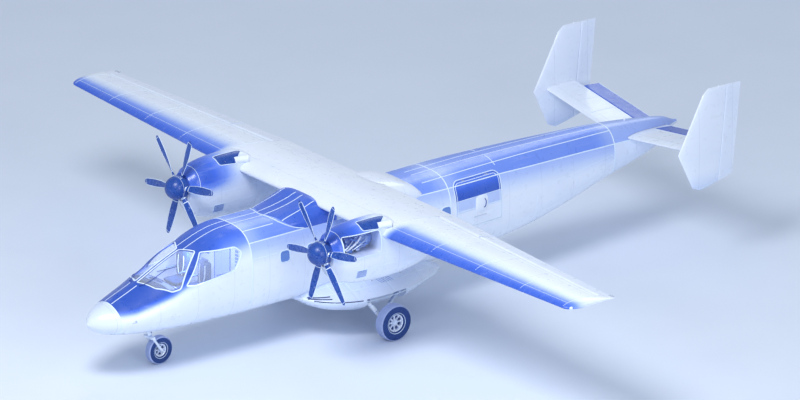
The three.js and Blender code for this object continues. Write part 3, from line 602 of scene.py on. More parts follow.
def tube_rings(path, radius, sides):
    rings = []
    side = (path[1] - path[0]).orthogonal().normalized()
    for i, point in enumerate(path):
        ahead = (path[min(i + 1, len(path) - 1)] - path[max(i - 1, 0)]).normalized()
        side = (side - ahead * side.dot(ahead)).normalized()
        other = ahead.cross(side)
        angles = [2 * math.pi * k / sides for k in range(sides)]
        rings.append([point + (side * math.cos(a) + other * math.sin(a)) * radius for a in angles])
    return rings


def boolean(item, cutter, operation):
    """Cuts, keeps or joins with another mesh and removes the cutter."""
    modifier = item.modifiers.new("cut", "BOOLEAN")
    modifier.operation, modifier.object, modifier.solver = operation, cutter, "EXACT"
    depsgraph = bpy.context.evaluated_depsgraph_get()
    made = bpy.data.meshes.new_from_object(item.evaluated_get(depsgraph))
    item.modifiers.clear()
    item.data = made
    shade(made, CREASE)
    bpy.data.objects.remove(cutter)


def rounded(corners, radius, steps=5):
    """An outline with its corners rounded off."""
    outline = []
    for i, corner in enumerate(corners):
        here = Vector(corner)
        before, after = Vector(corners[i - 1]), Vector(corners[(i + 1) % len(corners)])
        reach = min(radius, (before - here).length * 0.45, (after - here).length * 0.45)
        start, end = here + (before - here).normalized() * reach, here + (after - here).normalized() * reach
        for k in range(steps + 1):
            t = k / steps
            outline.append(start * (1 - t) ** 2 + here * 2 * t * (1 - t) + end * t ** 2)
    return outline


def prism(points, sweep):
    """A plain cutting tool: flat outline points swept along a vector."""
    count = len(points)
    vertices = [*points, *[p + sweep for p in points]]
    return cutting_tool(vertices, end_caps(2, count) + grid_faces(2, count))


def cutting_tool(vertices, faces):
    """A plain closed mesh for boolean to use and remove."""
    mesh = bpy.data.meshes.new("tool")
    mesh.from_pydata([tuple(v) for v in vertices], [], faces)
    fix_normals(mesh)
    tool = bpy.data.objects.new("tool", mesh)
    bpy.context.scene.collection.objects.link(tool)
    return tool


def rounded_pairs(corners, radius):
    return [tuple(point) for point in rounded(corners, radius)]


def rectangle(low_a, high_a, low_b, high_b):
    """The four corners in order, as (a, b) pairs."""
    return [(low_a, low_b), (high_a, low_b), (high_a, high_b), (low_a, high_b)]


# ---------------------------------------------------------------- bodies of superelliptic section


def level_slope(before, here, after, column):
    if (here[column] - before[column]) * (after[column] - here[column]) <= 0:
        return 0.0
    return (after[column] - before[column]) / (after[0] - before[0])


def row_at(rows, station):
    """Smooth half width, keel, roof and squareness at a station."""
    upper = next((i for i, row in enumerate(rows) if row[0] > station), len(rows) - 1)
    upper = max(upper, 1)
    before, low, high, after = [rows[min(max(i, 0), len(rows) - 1)] for i in range(upper - 2, upper + 2)]
    span = high[0] - low[0]
    t = (station - low[0]) / span
    rest, share = 2 * t ** 3 - 3 * t ** 2 + 1, 3 * t ** 2 - 2 * t ** 3
    leaving, arriving = t ** 3 - 2 * t ** 2 + t, t ** 3 - t ** 2
    values = []
    for column in range(1, 6):
        slope_low = level_slope(before, low, high, column)
        slope_high = level_slope(low, high, after, column)
        values.append(rest * low[column] + leaving * slope_low * span + share * high[column]
                      + arriving * slope_high * span)
    return values


def body_point(rows, station, angle, out=0.0, centre=0.0):
    """A point on a section, at an angle from +X towards +Z about the section's middle."""
    width, keel, roof, upper, lower = row_at(rows, station)
    width, height = width + out, (roof - keel) / 2 + out
    power = upper if math.sin(angle) >= 0 else lower
    reach = (abs(math.cos(angle) / width) ** power + abs(math.sin(angle) / height) ** power) ** (-1 / power)
    return Vector((centre + reach * math.cos(angle), along(station), (keel + roof) / 2
                   + reach * math.sin(angle)))


def body_ring(rows, station, sides, out=0.0, centre=0.0):
    return [body_point(rows, station, 2 * math.pi * i / sides, out, centre) for i in range(sides)]


def on_roof(rows, station, x, out=0.0):
    """The point of the upper half at a distance from the centreline."""
    width, keel, roof, upper, _ = row_at(rows, station)
    width, height = width + out, (roof - keel) / 2 + out
    rise = max(1 - abs(x / width) ** upper, 0.0) ** (1 / upper)
    return Vector((x, along(station), (keel + roof) / 2 + height * rise))


def on_side(rows, station, z, side, out=0.0):
    """The point of one side at a height."""
    width, keel, roof, upper, lower = row_at(rows, station)
    width, height, middle = width + out, (roof - keel) / 2 + out, (keel + roof) / 2
    power = upper if z >= middle else lower
    reach = max(1 - abs((z - middle) / height) ** power, 0.0) ** (1 / power)
    return Vector((side * width * reach, along(station), z))


def outward(rows, point):
    """Unit normal of a body's surface near a point."""
    station = point.y + HALF_LENGTH
    width, keel, roof, upper, lower = row_at(rows, station)
    height, middle = (roof - keel) / 2, (keel + roof) / 2
    power = upper if point.z >= middle else lower
    across = math.copysign(abs(point.x / width) ** (power - 1) / width, point.x)
    rise = math.copysign(abs((point.z - middle) / height) ** (power - 1) / height, point.z - middle)
    step = 0.02
    ahead, behind = row_at(rows, station - step), row_at(rows, station + step)
    shrink = (ahead[0] - behind[0]) / (2 * step)
    return Vector((across, shrink * abs(across), rise)).normalized()


def stations(start, end, pitch, rows=()):
    count = max(1, round((end - start) / pitch))
    places = {start + (end - start) * i / count for i in range(count + 1)}
    places |= {row[0] for row in rows if start < row[0] < end}
    ordered = sorted(places)
    return [s for i, s in enumerate(ordered) if i == 0 or s - ordered[i - 1] > pitch * 0.15]


SECTION_SIDES = 112
RING_PITCH = 0.09


def fuselage_shell(name, start, end, thickness, material):
    """A hollow length of fuselage with rounded seam edges."""
    edge = SEAM_GAP
    places = [start, start + edge, *stations(start + 0.02, end - 0.02, RING_PITCH, FUSELAGE), end - edge,
              end]
    outer = [body_ring(FUSELAGE, s, SECTION_SIDES, -edge if s in (start, end) else 0.0) for s in places]
    inner = [body_ring(FUSELAGE, s, SECTION_SIDES, -thickness) for s in reversed(places)]
    return closed_shell(name, outer + inner, material)


def closed_shell(name, rings, material):
    """A sheet with thickness: rings run over its outside and back over its inside."""
    faces = grid_faces(len(rings), SECTION_SIDES) + closing_faces(len(rings), SECTION_SIDES)
    return make_object(name, [p for ring in rings for p in ring], faces, material)


def set_tones(item, tones_at):
    """Stores the values that a formula of position gives to every vertex."""
    mesh = item.data
    columns = {}
    for vertex in mesh.vertices:
        for key, value in tones_at(vertex.co).items():
            columns.setdefault(key, []).append(value)
    for key, values in columns.items():
        mesh.attributes.new(key, "FLOAT", "POINT").data.foreach_set("value", values)


RINGS = (NOSE_CAP_END, COCKPIT_END, CABIN_END, TAIL_CONE_START)


def fuselage_tones(point):
    station = point.y + HALF_LENGTH
    above = point.z - interpolate(BOUNDARY, station)
    if station < COCKPIT_END - 0.001:
        # Painted light and shade: the cockpit sides fade softly from deep blue above the line to white below
        # it.
        deep = 0.92 - 0.16 * smooth_step(2.6, 4.2, station)
        fade = 0.10 + 0.25 * smooth_step(1.5, 4.0, station)
        soft = smooth_step(-fade, fade, above)
        tone = 0.05 + (deep - 0.05) * soft
        return {"above": above, "tone": tone, "tone_low": tone}
    near = min(abs(station - ring) for ring in RINGS)
    tone = 0.55 - 0.14 * math.exp(-(near / 0.45) ** 2)
    # Painted light and shade: below the line the sides fade from lavender to white lower down.
    low = 0.03 + 0.34 * (1 - smooth_step(0.0, 0.62, -above))
    return {"above": above, "tone": tone, "tone_low": low}


def cap_tones(point):
    return {"tone": 0.07 + 0.10 * smooth_step(1.5, 1.9, point.z)}


def door_tones(point):
    tone = 0.66 + 0.22 * smooth_step(2.96, 2.6, point.z)
    return {"above": point.z - 2.52, "tone": tone, "tone_low": 0.05 + 0.25 * smooth_step(2.2, 2.26, point.z)}


def window_prisms(side):
    """Cutting tools for one windscreen half and one side window."""
    screen = [Vector((side * x, along(s), 1.8)) for x, s in WINDSCREEN]
    pane = [Vector((side * 0.35, along(s), z)) for s, z in SIDE_WINDOW]
    return [prism(rounded(screen, 0.05), Vector((0, 0, 1.6))),
            prism(rounded(pane, 0.05), Vector((side * 0.9, 0, 0)))]


def door_outline(grow=0.0):
    front, rear = along(DOOR["front"]) - grow, along(DOOR["rear"]) + grow
    sill, head = DOOR["sill"] - grow, DOOR["head"] + grow
    radius = DOOR["corner"] + grow
    outline = [(front, sill), (rear, sill)]
    for cy, cz, start in ((rear - radius, head - radius, 0), (front + radius, head - radius, 90)):
        for step in range(9):
            angle = math.radians(start + 90 * step / 8)
            outline.append((cy + radius * math.cos(angle), cz + radius * math.sin(angle)))
    return outline


def door_prism(grow):
    return prism([Vector((0.35, y, z)) for y, z in door_outline(grow)], Vector((0.9, 0, 0)))


def make_fuselage():
    cap = [body_ring(FUSELAGE, s, SECTION_SIDES)
           for s in (0.0, 0.01, 0.025, 0.045, *stations(0.07, 0.6, 0.03))]
    cap.append(body_ring(FUSELAGE, NOSE_CAP_END, SECTION_SIDES, -SEAM_GAP))
    nose = Builder()
    nose.loft(cap, PAINT)
    item = nose.build("nose_cap_fine", slot="nose_skin")
    set_tones(item, cap_tones)
    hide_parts("nose_cap")

    cockpit = fuselage_shell("cockpit_skin", NOSE_CAP_END, COCKPIT_END, SKIN, SKIN_PAINT)
    for side in SIDES.values():
        for tool in window_prisms(side):
            boolean(cockpit, tool, "DIFFERENCE")
    set_tones(cockpit, fuselage_tones)
    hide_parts("cockpit_body")

    cabin = fuselage_shell("cabin_skin", COCKPIT_END, CABIN_END, SKIN, SKIN_PAINT)
    set_tones(cabin, fuselage_tones)
    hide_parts("cabin_body")

    tail = fuselage_shell("tail_skin_panels", CABIN_END, TAIL_CONE_START, TAIL_SKIN, SKIN_PAINT)
    boolean(tail, door_prism(DOOR["gap"]), "DIFFERENCE")
    set_tones(tail, fuselage_tones)
    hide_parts("tail_body")

    door = fuselage_shell("rear_door_skin", CABIN_END, 12.5, TAIL_SKIN, SKIN_PAINT)
    boolean(door, door_prism(0.0), "INTERSECT")
    set_tones(door, door_tones)
    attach(door, "rear_door")
    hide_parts("rear_door")


# ---------------------------------------------------------------- strips and frames on the skin


def ribbon(builder, points, normals, width, height, material, closed=False, sink=0.002):
    """A flat-topped strip with chamfered edges that lies on a surface."""
    count = len(points)
    rings = []
    for i, (point, normal) in enumerate(zip(points, normals)):
        before = points[(i - 1) % count] if closed or i else point
        after = points[(i + 1) % count] if closed or i < count - 1 else point
        side = (after - before).cross(normal).normalized() * (width / 2)
        top = point + normal * height
        base = point - normal * sink
        rings.append([base + side, top + side * 0.9 - normal * height * 0.4, top + side * 0.7,
                      top - side * 0.7,
                      top - side * 0.9 - normal * height * 0.4, base - side])
    if not closed:
        builder.loft(rings, material)
        return
    faces = grid_faces(count, 6) + closing_faces(count, 6)
    builder.add([p for ring in rings for p in ring], faces, material)


def skin_strip(builder, points, width=0.016, height=0.004, material=None, closed=False, rows=FUSELAGE):
    ribbon(builder, points, [outward(rows, p) for p in points], width, height, material or SEAM, closed)


def ring_strip(builder, station, start=0.0, end=360.0, width=0.032, rows=FUSELAGE):
    whole = end - start >= 360
    steps = max(8, round((end - start) / 3))
    angles = [math.radians(start + (end - start) * i / steps) for i in range(steps + (not whole))]
    skin_strip(builder, [body_point(rows, station, a) for a in angles], width, closed=whole, rows=rows)


FAIRED = (5.16, 9.7)  # stations covered by the wing fairing


def open_stations(start, end, pitch=0.12):
    """Stretches of stations outside the wing fairing."""
    spans = []
    if start < FAIRED[0]:
        spans.append(stations(start, min(end, FAIRED[0]), pitch))
    if end > FAIRED[1]:
        spans.append(stations(max(start, FAIRED[1]), end, pitch))
    return spans


def skin_lines():
    lines = Builder()
    for station in RINGS:
        ring_strip(lines, station)
    ring_strip(lines, 11.92, 58, 80, 0.020)
    ring_strip(lines, 11.92, 100, 122, 0.020)
    for side in SIDES.values():
        boundary = [on_side(FUSELAGE, s, interpolate(BOUNDARY, s), side)
                    for s in stations(COCKPIT_END, 17.6, 0.12)]
        skin_strip(lines, boundary, 0.028)
        for spell in open_stations(COCKPIT_END, 15.66):
            skin_strip(lines, [on_roof(FUSELAGE, s, side * 0.575 * row_at(FUSELAGE, s)[0]) for s in spell],
                       0.024)
        for spell in [stations(0.64, 1.4, 0.1), stations(2.78, 4.22, 0.12), *open_stations(4.26, 15.66)]:
            skin_strip(lines, [on_roof(FUSELAGE, s, side * 0.13) for s in spell], 0.020)
        skin_strip(lines, [on_side(FUSELAGE, s, 2.47, side) for s in stations(4.27, 5.0, 0.1)], 0.014)
        for s0, s1, z in ((10.35, 15.6, 1.98), (4.3, 10.25, 1.78)):
            skin_strip(lines, [on_side(FUSELAGE, s, z + 0.11 * max(s - 11, 0), side)
                               for s in stations(s0, s1, 0.15)], 0.007, 0.002)
    for station in (5.1, 6.2, 7.3, 8.4, 9.4, 11.0, 13.1, 14.4):
        ring_strip(lines, station, 190, 350, 0.007)
    lines.build("skin_seams", slot="fuselage_skin", crease=60)


CABIN_WINDOWS = [5.22 + 0.82 * i for i in range(7)]
WINDOW_HALF = (0.15, 0.15)
WINDOW_HEIGHT = 2.34
DOOR_PATCH = {"station": 11.275, "height": 2.31, "half": (0.20, 0.21)}


def window_outline(station, height, half_width, half_height, steps=28):
    """A rounded rectangle as (station, height) pairs."""
    outline = []
    for i in range(steps):
        angle = 2 * math.pi * i / steps
        c, s = math.cos(angle), math.sin(angle)
        outline.append((station + half_width * signed_power(c, 0.55), height
                        + half_height * signed_power(s, 0.55)))
    return outline


def skin_window(builder, station, height, half_width, half_height, side):
    outline = window_outline(station, height, half_width, half_height)
    rim = [on_side(FUSELAGE, s, z, side) for s, z in outline]
    skin_strip(builder, rim, 0.034, 0.008, SEAM, closed=True)
    inner = [on_side(FUSELAGE, station + (s - station) * 0.95, height + (z - height) * 0.95, side, 0.003)
             for s, z in outline]
    mid = [on_side(FUSELAGE, station + (s - station) * 0.5, height + (z - height) * 0.5, side, 0.0055)
           for s, z in outline]
    back = [on_side(FUSELAGE, station + (s - station) * 0.95, height + (z - height) * 0.95, side, -0.002)
            for s, z in outline]
    builder.loft([back, inner, mid], CABIN_PANE)


def make_windows():
    panes = Builder()
    for side in SIDES.values():
        for station in CABIN_WINDOWS:
            skin_window(panes, station, WINDOW_HEIGHT, *WINDOW_HALF, side)
    panes.build("cabin_windows", slot="glazing", crease=50)

    door = Builder()
    middle_s, middle_z = DOOR_PATCH["station"], DOOR_PATCH["height"]
    outline = window_outline(middle_s, middle_z, *DOOR_PATCH["half"])
    rings = []
    for shrink, out in ((1.0, -0.002), (1.0, 0.004), (0.95, 0.009), (0.5, 0.010)):
        rings.append([on_side(FUSELAGE, middle_s + (s - middle_s) * shrink, middle_z
                              + (z - middle_z) * shrink, 1, out)
                      for s, z in outline])
    door.loft(rings, PLAIN_WHITE)
    latch = [on_side(FUSELAGE, s, z, 1, 0.02) for s,
             z in ((11.36, 2.42), (11.40, 2.34), (11.38, 2.24), (11.33, 2.2))]
    door.tube(latch, 0.010, NAVY)
    for z in (2.52, 2.24):
        line = [on_side(FUSELAGE, s, z, 1) for s in stations(10.5, 11.88, 0.1)]
        skin_strip(door, line, 0.014)
    grip = [on_side(FUSELAGE, s, 2.02, 1, 0.018) for s in (11.0, 11.08, 11.2, 11.32, 11.4)]
    door.tube(grip, 0.009, CHROME)
    rim = [on_side(FUSELAGE, y + HALF_LENGTH, z, 1) for y, z in resampled(door_outline(-0.03), 0.07)]
    skin_strip(door, rim, 0.016, 0.004, closed=True)
    for station in (10.8, 11.55):
        hinge = on_side(FUSELAGE, station, 2.955, 1, 0.006)
        door.rod(hinge - Vector((0, 0.05, 0)), hinge + Vector((0, 0.05, 0)), 0.008, CHROME)
    door.build("rear_door_details", "rear_door", "fuselage_skin", crease=50)

    frame_strip = Builder()
    rim = [on_side(FUSELAGE, y + HALF_LENGTH, z, 1) for y, z in resampled(door_outline(0.028), 0.07)]
    skin_strip(frame_strip, rim, 0.022, 0.005, closed=True)
    frame_strip.build("rear_door_frame", slot="fuselage_skin", crease=50)


def resampled(outline, pitch):
    """The same closed outline with extra points on its long edges."""
    result = []
    for i, (a, b) in enumerate(outline):
        c, d = outline[(i + 1) % len(outline)]
        count = max(1, math.ceil(math.hypot(c - a, d - b) / pitch))
        result += [(a + (c - a) * k / count, b + (d - b) * k / count) for k in range(count)]
    return result


def grown(outline, amount):
    """Moves the corners of an outline away from its middle."""
    cx, cy = sum(p[0] for p in outline) / len(outline), sum(p[1] for p in outline) / len(outline)
    result = []
    for x, y in outline:
        distance = math.hypot(x - cx, y - cy)
        result.append((x + (x - cx) / distance * amount, y + (y - cy) / distance * amount))
    return result


def make_glazing():
    for name, side in SIDES.items():
        for node, tool in zip(("windscreen", "side_window"), window_prisms(side)):
            middle = SKIN / 2 - GLASS_THICKNESS / 2
            sheet = glass_sheet(f"{node}_glass_{name}", middle)
            boolean(sheet, tool, "INTERSECT")
            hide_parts(f"{node}_{name}")
    frames = Builder()
    for side in SIDES.values():
        screen = rounded_pairs(WINDSCREEN, 0.05)
        points = [on_roof(FUSELAGE, s, side * x) for x, s in resampled(grown(screen, 0.018), 0.05)]
        skin_strip(frames, points, 0.036, 0.006, closed=True)
        pane = rounded_pairs(SIDE_WINDOW, 0.05)
        points = [on_side(FUSELAGE, s, z, side) for s, z in resampled(grown(pane, 0.018), 0.05)]
        skin_strip(frames, points, 0.034, 0.006, closed=True)
        post = [on_roof(FUSELAGE, s, side * x) for x,
                s in ((0.20, 1.45), (0.26, 1.55), (0.30, 1.8), (0.33, 2.15))]
        normals = [outward(FUSELAGE, p) for p in post]
        frames.rod(post[0], post[0] + normals[0] * 0.03, 0.022, NAVY)
        frames.tube([p + n * 0.022 for p, n in zip(post, normals)], 0.008, NAVY)
        blade = [on_roof(FUSELAGE, s, side * x, 0.012) for x,
                 s in ((0.20, 1.95), (0.33, 2.15), (0.45, 2.38))]
        frames.tube(blade, 0.007, DARK)
    frames.build("glazing_frames", slot="fuselage_skin", crease=50)


def glass_sheet(name, depth):
    start, end = NOSE_CAP_END + 0.1, COCKPIT_END - 0.05
    places = stations(start, end, 0.1)
    rings = [body_ring(FUSELAGE, s, SECTION_SIDES, -depth) for s in places]
    rings += [body_ring(FUSELAGE, s, SECTION_SIDES, -depth - GLASS_THICKNESS) for s in reversed(places)]
    return closed_shell(name, rings, PANE)


# ---------------------------------------------------------------- lifting surfaces


def foil_half(x):
    return 5 * (0.2969 * math.sqrt(x) - 0.126 * x - 0.3516 * x ** 2 + 0.2843 * x ** 3 - 0.1036 * x ** 4)


class Section:
    """One chordwise section: leading and trailing points, thickness direction and ratio."""

    def __init__(self, lead, trail, up, ratio, camber=0.0, hinge=1.0, swell=0.0):
        self.lead, self.trail, self.up, self.ratio = Vector(lead), Vector(trail), Vector(up), ratio
        self.camber, self.hinge, self.swell = camber, hinge, swell
        self.chord = (self.trail - self.lead).length

    def point(self, x, face):
        half = max(foil_half(x) * self.ratio * self.chord, TRAILING_HALF_THICKNESS) + self.swell
        lift = self.camber * 4 * x * (1 - x) * self.chord + face * half
        return self.lead.lerp(self.trail, x) + self.up * lift

    def front_ring(self, end=1.0, steps=26):
        fractions = [end * (i / steps) ** 1.9 for i in range(1, steps + 1)]
        nose = self.lead - (self.trail - self.lead).normalized() * (self.swell + 0.002)
        return ([self.point(x, 1) for x in reversed(fractions)] + [nose]
                + [self.point(x, -1) for x in fractions])

    def pivot(self):
        upper, lower = self.point(self.hinge, 1), self.point(self.hinge, -1)
        return (upper + lower) / 2, (upper - lower).length / 2

    def cut(self):
        return self.hinge - (self.pivot()[1] + MOVING_GAP) / self.chord

    def rear_ring(self, steps=10):
        centre, radius = self.pivot()
        forward = (self.lead - self.trail).normalized()
        nose = [centre + self.up * radius * math.cos(a) + forward * radius * math.sin(a)
                for a in (math.pi * i / steps for i in range(steps + 1))]
        fractions = [self.hinge + (1 - self.hinge) * i / 7 for i in range(1, 8)]
        return nose + [self.point(x, -1) for x in fractions] + [self.point(x, 1)
                                                                for x in reversed(fractions)]


def wing_section(side, span, swell=0.0, set_back=0.0, thickness=1.0):
    part = max(span - WING["break"], 0.0) / (HALF_SPAN - WING["break"])
    values = {key: WING["root_" + key] + (WING["tip_" + key] - WING["root_" + key]) * part
              for key in ("lead", "trail", "height", "ratio")}
    return Section((side * span, along(values["lead"] + set_back - swell), values["height"]),
                   (side * span, along(values["trail"] + swell), values["height"]),
                   (0, 0, 1), values["ratio"] * thickness, WING["camber"], WING["hinge"], swell)


def spread(spans, pitch):
    places = []
    for a, b in zip(spans, spans[1:]):
        count = max(1, round((b - a) / pitch))
        places += [a + (b - a) * i / count for i in range(count)]
    return [*places, spans[-1]]


def wing_tones(point):
    span, station = abs(point.x), point.y + HALF_LENGTH
    part = max(span - WING["break"], 0.0) / (HALF_SPAN - WING["break"])
    lead = WING["root_lead"] + (WING["tip_lead"] - WING["root_lead"]) * part
    trail = WING["root_trail"] + (WING["tip_trail"] - WING["root_trail"]) * part
    fraction = (station - lead) / (trail - lead)
    outer = smooth_step(3.32, 3.6, span)
    return {"tone": 0.03 + outer * 0.80 * (1 - smooth_step(-0.04, 0.45, fraction))}


def plain_tones(value):
    return lambda point: {"tone": value}


def finish_panel(builder, name, slot, tones, node=None, body="airframe", crease=40):
    item = builder.build(name, body, slot, crease)
    set_tones(item, tones)
    if node:
        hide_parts(node)
    return item


def make_wings():
    centre = Builder()
    spans = spread([-WING["break"], 0.0, WING["break"]], 0.3)
    centre.loft([wing_section(math.copysign(1, s), abs(s)).front_ring() for s in spans], PAINT)
    finish_panel(centre, "wing_centre_fine", "wing_skin", wing_tones, "wing_centre")
    for name, side in SIDES.items():
        wing = Builder()
        root = WING["break"] + SEAM_GAP
        wing.loft([wing_section(side, s).front_ring() for s in (root, FLAP_SPAN[0] - 0.015)], PAINT)
        sections = [wing_section(side, s) for s in spread([FLAP_SPAN[0] - 0.015, 5.0, AILERON_SPAN[1]
                                                           + 0.02], 0.3)]
        wing.loft([s.front_ring(s.cut()) for s in sections], PAINT)
        tip = [(9.76, 0, 1), (9.82, 0.02, 0.99), (9.88, 0.06, 0.95), (9.93, 0.13, 0.88), (9.965, 0.2, 0.78),
               (9.988, 0.29, 0.66), (10.0, 0.38, 0.5)]
        wing.loft([wing_section(side, s, 0, back, t).front_ring() for s, back, t in tip], PAINT)
        finish_panel(wing, f"wing_fine_{name}", "wing_skin", wing_tones, f"wing_{name}")
        for kind, (start, end) in (("flap", FLAP_SPAN), ("aileron", AILERON_SPAN)):
            panel = Builder()
            panel.loft([wing_section(side, s).rear_ring() for s in spread([start, end], 0.25)], PAINT)
            finish_panel(panel, f"{kind}_fine_{name}", "wing_skin", plain_tones(0.06), f"{kind}_{name}",
                         f"{kind}_{name}")
        wing_details(name, side)


def wing_strip(builder, side, places, face, width=0.012, height=0.003):
    """A strip over the wing surface through (span, chord fraction) places."""
    points = [wing_section(side, span).point(x, face) for span, x in places]
    ribbon(builder, points, [Vector((0, 0, face))] * len(points), width, height, SEAM)


def wing_details(name, side):
    strips = Builder()
    for face in (1, -1):
        for span in (3.33, 5.0, 6.6, 8.2, 9.74):
            wing_strip(strips, side, [(span, 0.02 + 0.7 * i / 16) for i in range(17)], face)
        for fraction in (0.12, 0.42, 0.70):
            wing_strip(strips, side, [(s, fraction) for s in spread([3.33, 9.74], 0.35)], face, 0.008)
    strips.build(f"wing_seams_{name}", slot="wing_skin", crease=60)
    pods = Builder()
    for span in (3.75, 4.55, 5.9, 7.6, 9.1):
        section = wing_section(side, span)
        start, end = section.point(0.55, -1), section.point(section.cut() - 0.01, -1)
        rings = []
        for i in range(15):
            t = i / 14
            centre = start.lerp(end, t)
            size = 0.045 * math.sin(math.pi * min(t * 0.96 + 0.02, 1)) ** 0.6 + 0.002
            rings.append([centre + Vector((math.cos(a) * size * 0.7, 0, math.sin(a) * size))
                          for a in (2 * math.pi * k / 20 for k in range(20))])
        pods.loft(rings, PLAIN_WHITE)
    for i in range(3):
        section = wing_section(side, 9.78 + 0.06 * i)
        pods.rod(section.point(0.985, 1), section.point(0.985, 1) + Vector((side * 0.01, 0.09, 0)), 0.003,
                 DARK)
    lamp = wing_section(side, 9.9, 0, 0.08, 0.9).lead
    dome = [(0.0, 0.0002), (0.008, 0.02), (0.03, 0.034), (0.07, 0.04), (0.12, 0.03), (0.16, 0.0002)]
    pods.lathe(dome, lamp, (0, 1, 0), LAMP_CLEAR, 24)
    pods.build(f"wing_fittings_{name}", slot="wing_skin", crease=45)


def fairing_tones(point):
    station = point.y + HALF_LENGTH
    above = point.z - interpolate(BOUNDARY, station) + 0.01
    tone = 0.82 if station < WING["root_lead"] + 0.5 else 0.05
    return {"above": above, "tone": tone, "tone_low": 0.3 if station < WING["root_lead"] + 0.5 else 0.05}


def wing_prism(side_spans, swell):
    """The wing's outline as a cutting tool."""
    sections = [wing_section(math.copysign(1, s), abs(s), swell) for s in side_spans]
    rings = [s.front_ring(1.0, 18) for s in sections]
    count = len(rings[0])
    faces = grid_faces(len(rings), count) + end_caps(len(rings), count)
    return cutting_tool([p for ring in rings for p in ring], faces)


def make_fairing():
    fairing = Builder()
    places = stations(WING_FAIRING[0][0], WING_FAIRING[-1][0], 0.09, WING_FAIRING)
    fairing.loft([body_ring(WING_FAIRING, s, 96) for s in places], SKIN_PAINT)
    item = fairing.build("wing_fairing_fine", slot="fuselage_skin")
    core = Builder()
    core.loft([body_ring(FUSELAGE, s, 96, -0.004) for s in stations(4.9, 10.0, 0.15)], SKIN_PAINT)
    tool = core.build("tool")
    boolean(item, tool, "DIFFERENCE")
    boolean(item, wing_prism((-2.0, 0.0, 2.0), 0.004), "DIFFERENCE")
    set_tones(item, fairing_tones)
    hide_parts("wing_fairing")

    lines = Builder()
    for side in SIDES.values():
        for x in (0.575, 0.13):
            front = [on_roof(WING_FAIRING, s, side * x)
                     for s in stations(5.42 if x > 0.4 else 5.2, 6.40, 0.06)]
            skin_strip(lines, front, 0.022, rows=WING_FAIRING)
    edge = [(5.165, 0.0, 0.0), (5.19, 0.17, 0.0), (5.228, 0.32, 0.0), (5.35, 0.60, 0.0), (5.563, 0.0, 2.958),
            (5.73, 0.0, 2.905), (5.894, 0.0, 2.869)]
    half = [on_roof(FUSELAGE, s, x, 0.004) if not z else on_side(FUSELAGE, s, z, 1, 0.004) for s, x,
            z in edge]
    whole = [Vector((-p.x, p.y, p.z)) for p in reversed(half[1:])] + half
    skin_strip(lines, smooth_path(whole), 0.024, 0.014)
    lines.build("fairing_seams", slot="fuselage_skin", crease=60)


# ---------------------------------------------------------------- nacelles and engines

NACELLE_SIDE = 2.857
NACELLE = [
    (5.015, 0.330, 2.600, 3.380, 2.2, 2.2), (5.15, 0.430, 2.360, 3.480, 2.4, 2.4),
           (5.45, 0.490, 2.200, 3.570, 2.5, 2.5),
    (5.9, 0.510, 2.110, 3.630, 2.6, 2.6), (6.5, 0.510, 2.070, 3.650, 2.6, 2.6),
           (6.85, 0.500, 2.085, 3.560, 2.6, 2.6),
    (7.1, 0.490, 2.110, 3.380, 2.6, 2.6), (7.7, 0.460, 2.220, 3.300, 2.5, 2.5),
           (8.4, 0.350, 2.520, 3.275, 2.3, 2.3),
    (8.6, 0.290, 2.640, 3.240, 2.3, 2.3), (8.85, 0.150, 2.800, 3.090, 2.2, 2.2),
           (9.0, 0.050, 2.900, 2.990, 2.0, 2.0),
]
COWL_OPENING = {"front": 5.27, "rear": 6.33, "low": 2.9, "high": 3.44, "depth": 0.3}
ENGINE = {"front": 5.15, "rear": 6.325, "radius": 0.235, "height": 3.16}
COWL_CORNER = 0.07
CHIN_INTAKE = {"half": 0.17, "low": 2.66, "high": 2.79, "front": 5.0, "depth": 0.26}
INTAKE_CORNER = 0.05
NACELLE_WING_CUTS = ((2.0, 3.299), (3.301, 3.9))  # spans each side of the wing joint
PROPELLER = {"radius": 1.4, "station": 4.91, "height": 3.05, "blades": 6, "phase": 10}
SPINNER = {"tip": 4.54, "base": 4.985, "radius": 0.29, "flange": 4.835}


def nacelle_tones(point):
    station = point.y + HALF_LENGTH
    middle = 2.98
    high = smooth_step(middle - 0.25, middle + 0.3, point.z)
    return {"tone": 0.03 + 0.80 * high * (1 - smooth_step(5.4, 6.8, station))}


def nacelle_surface(side, station, height, out=0.0):
    point = on_side(NACELLE, station, height, side, out)
    return point + Vector((side * NACELLE_SIDE, 0, 0))


def nacelle_strip(builder, side, points, width=0.012, height=0.003, material=None, closed=False):
    centre = Vector((side * NACELLE_SIDE, 0, 0))
    normals = [outward(NACELLE, p - centre) for p in points]
    ribbon(builder, points, normals, width, height, material or SEAM, closed)


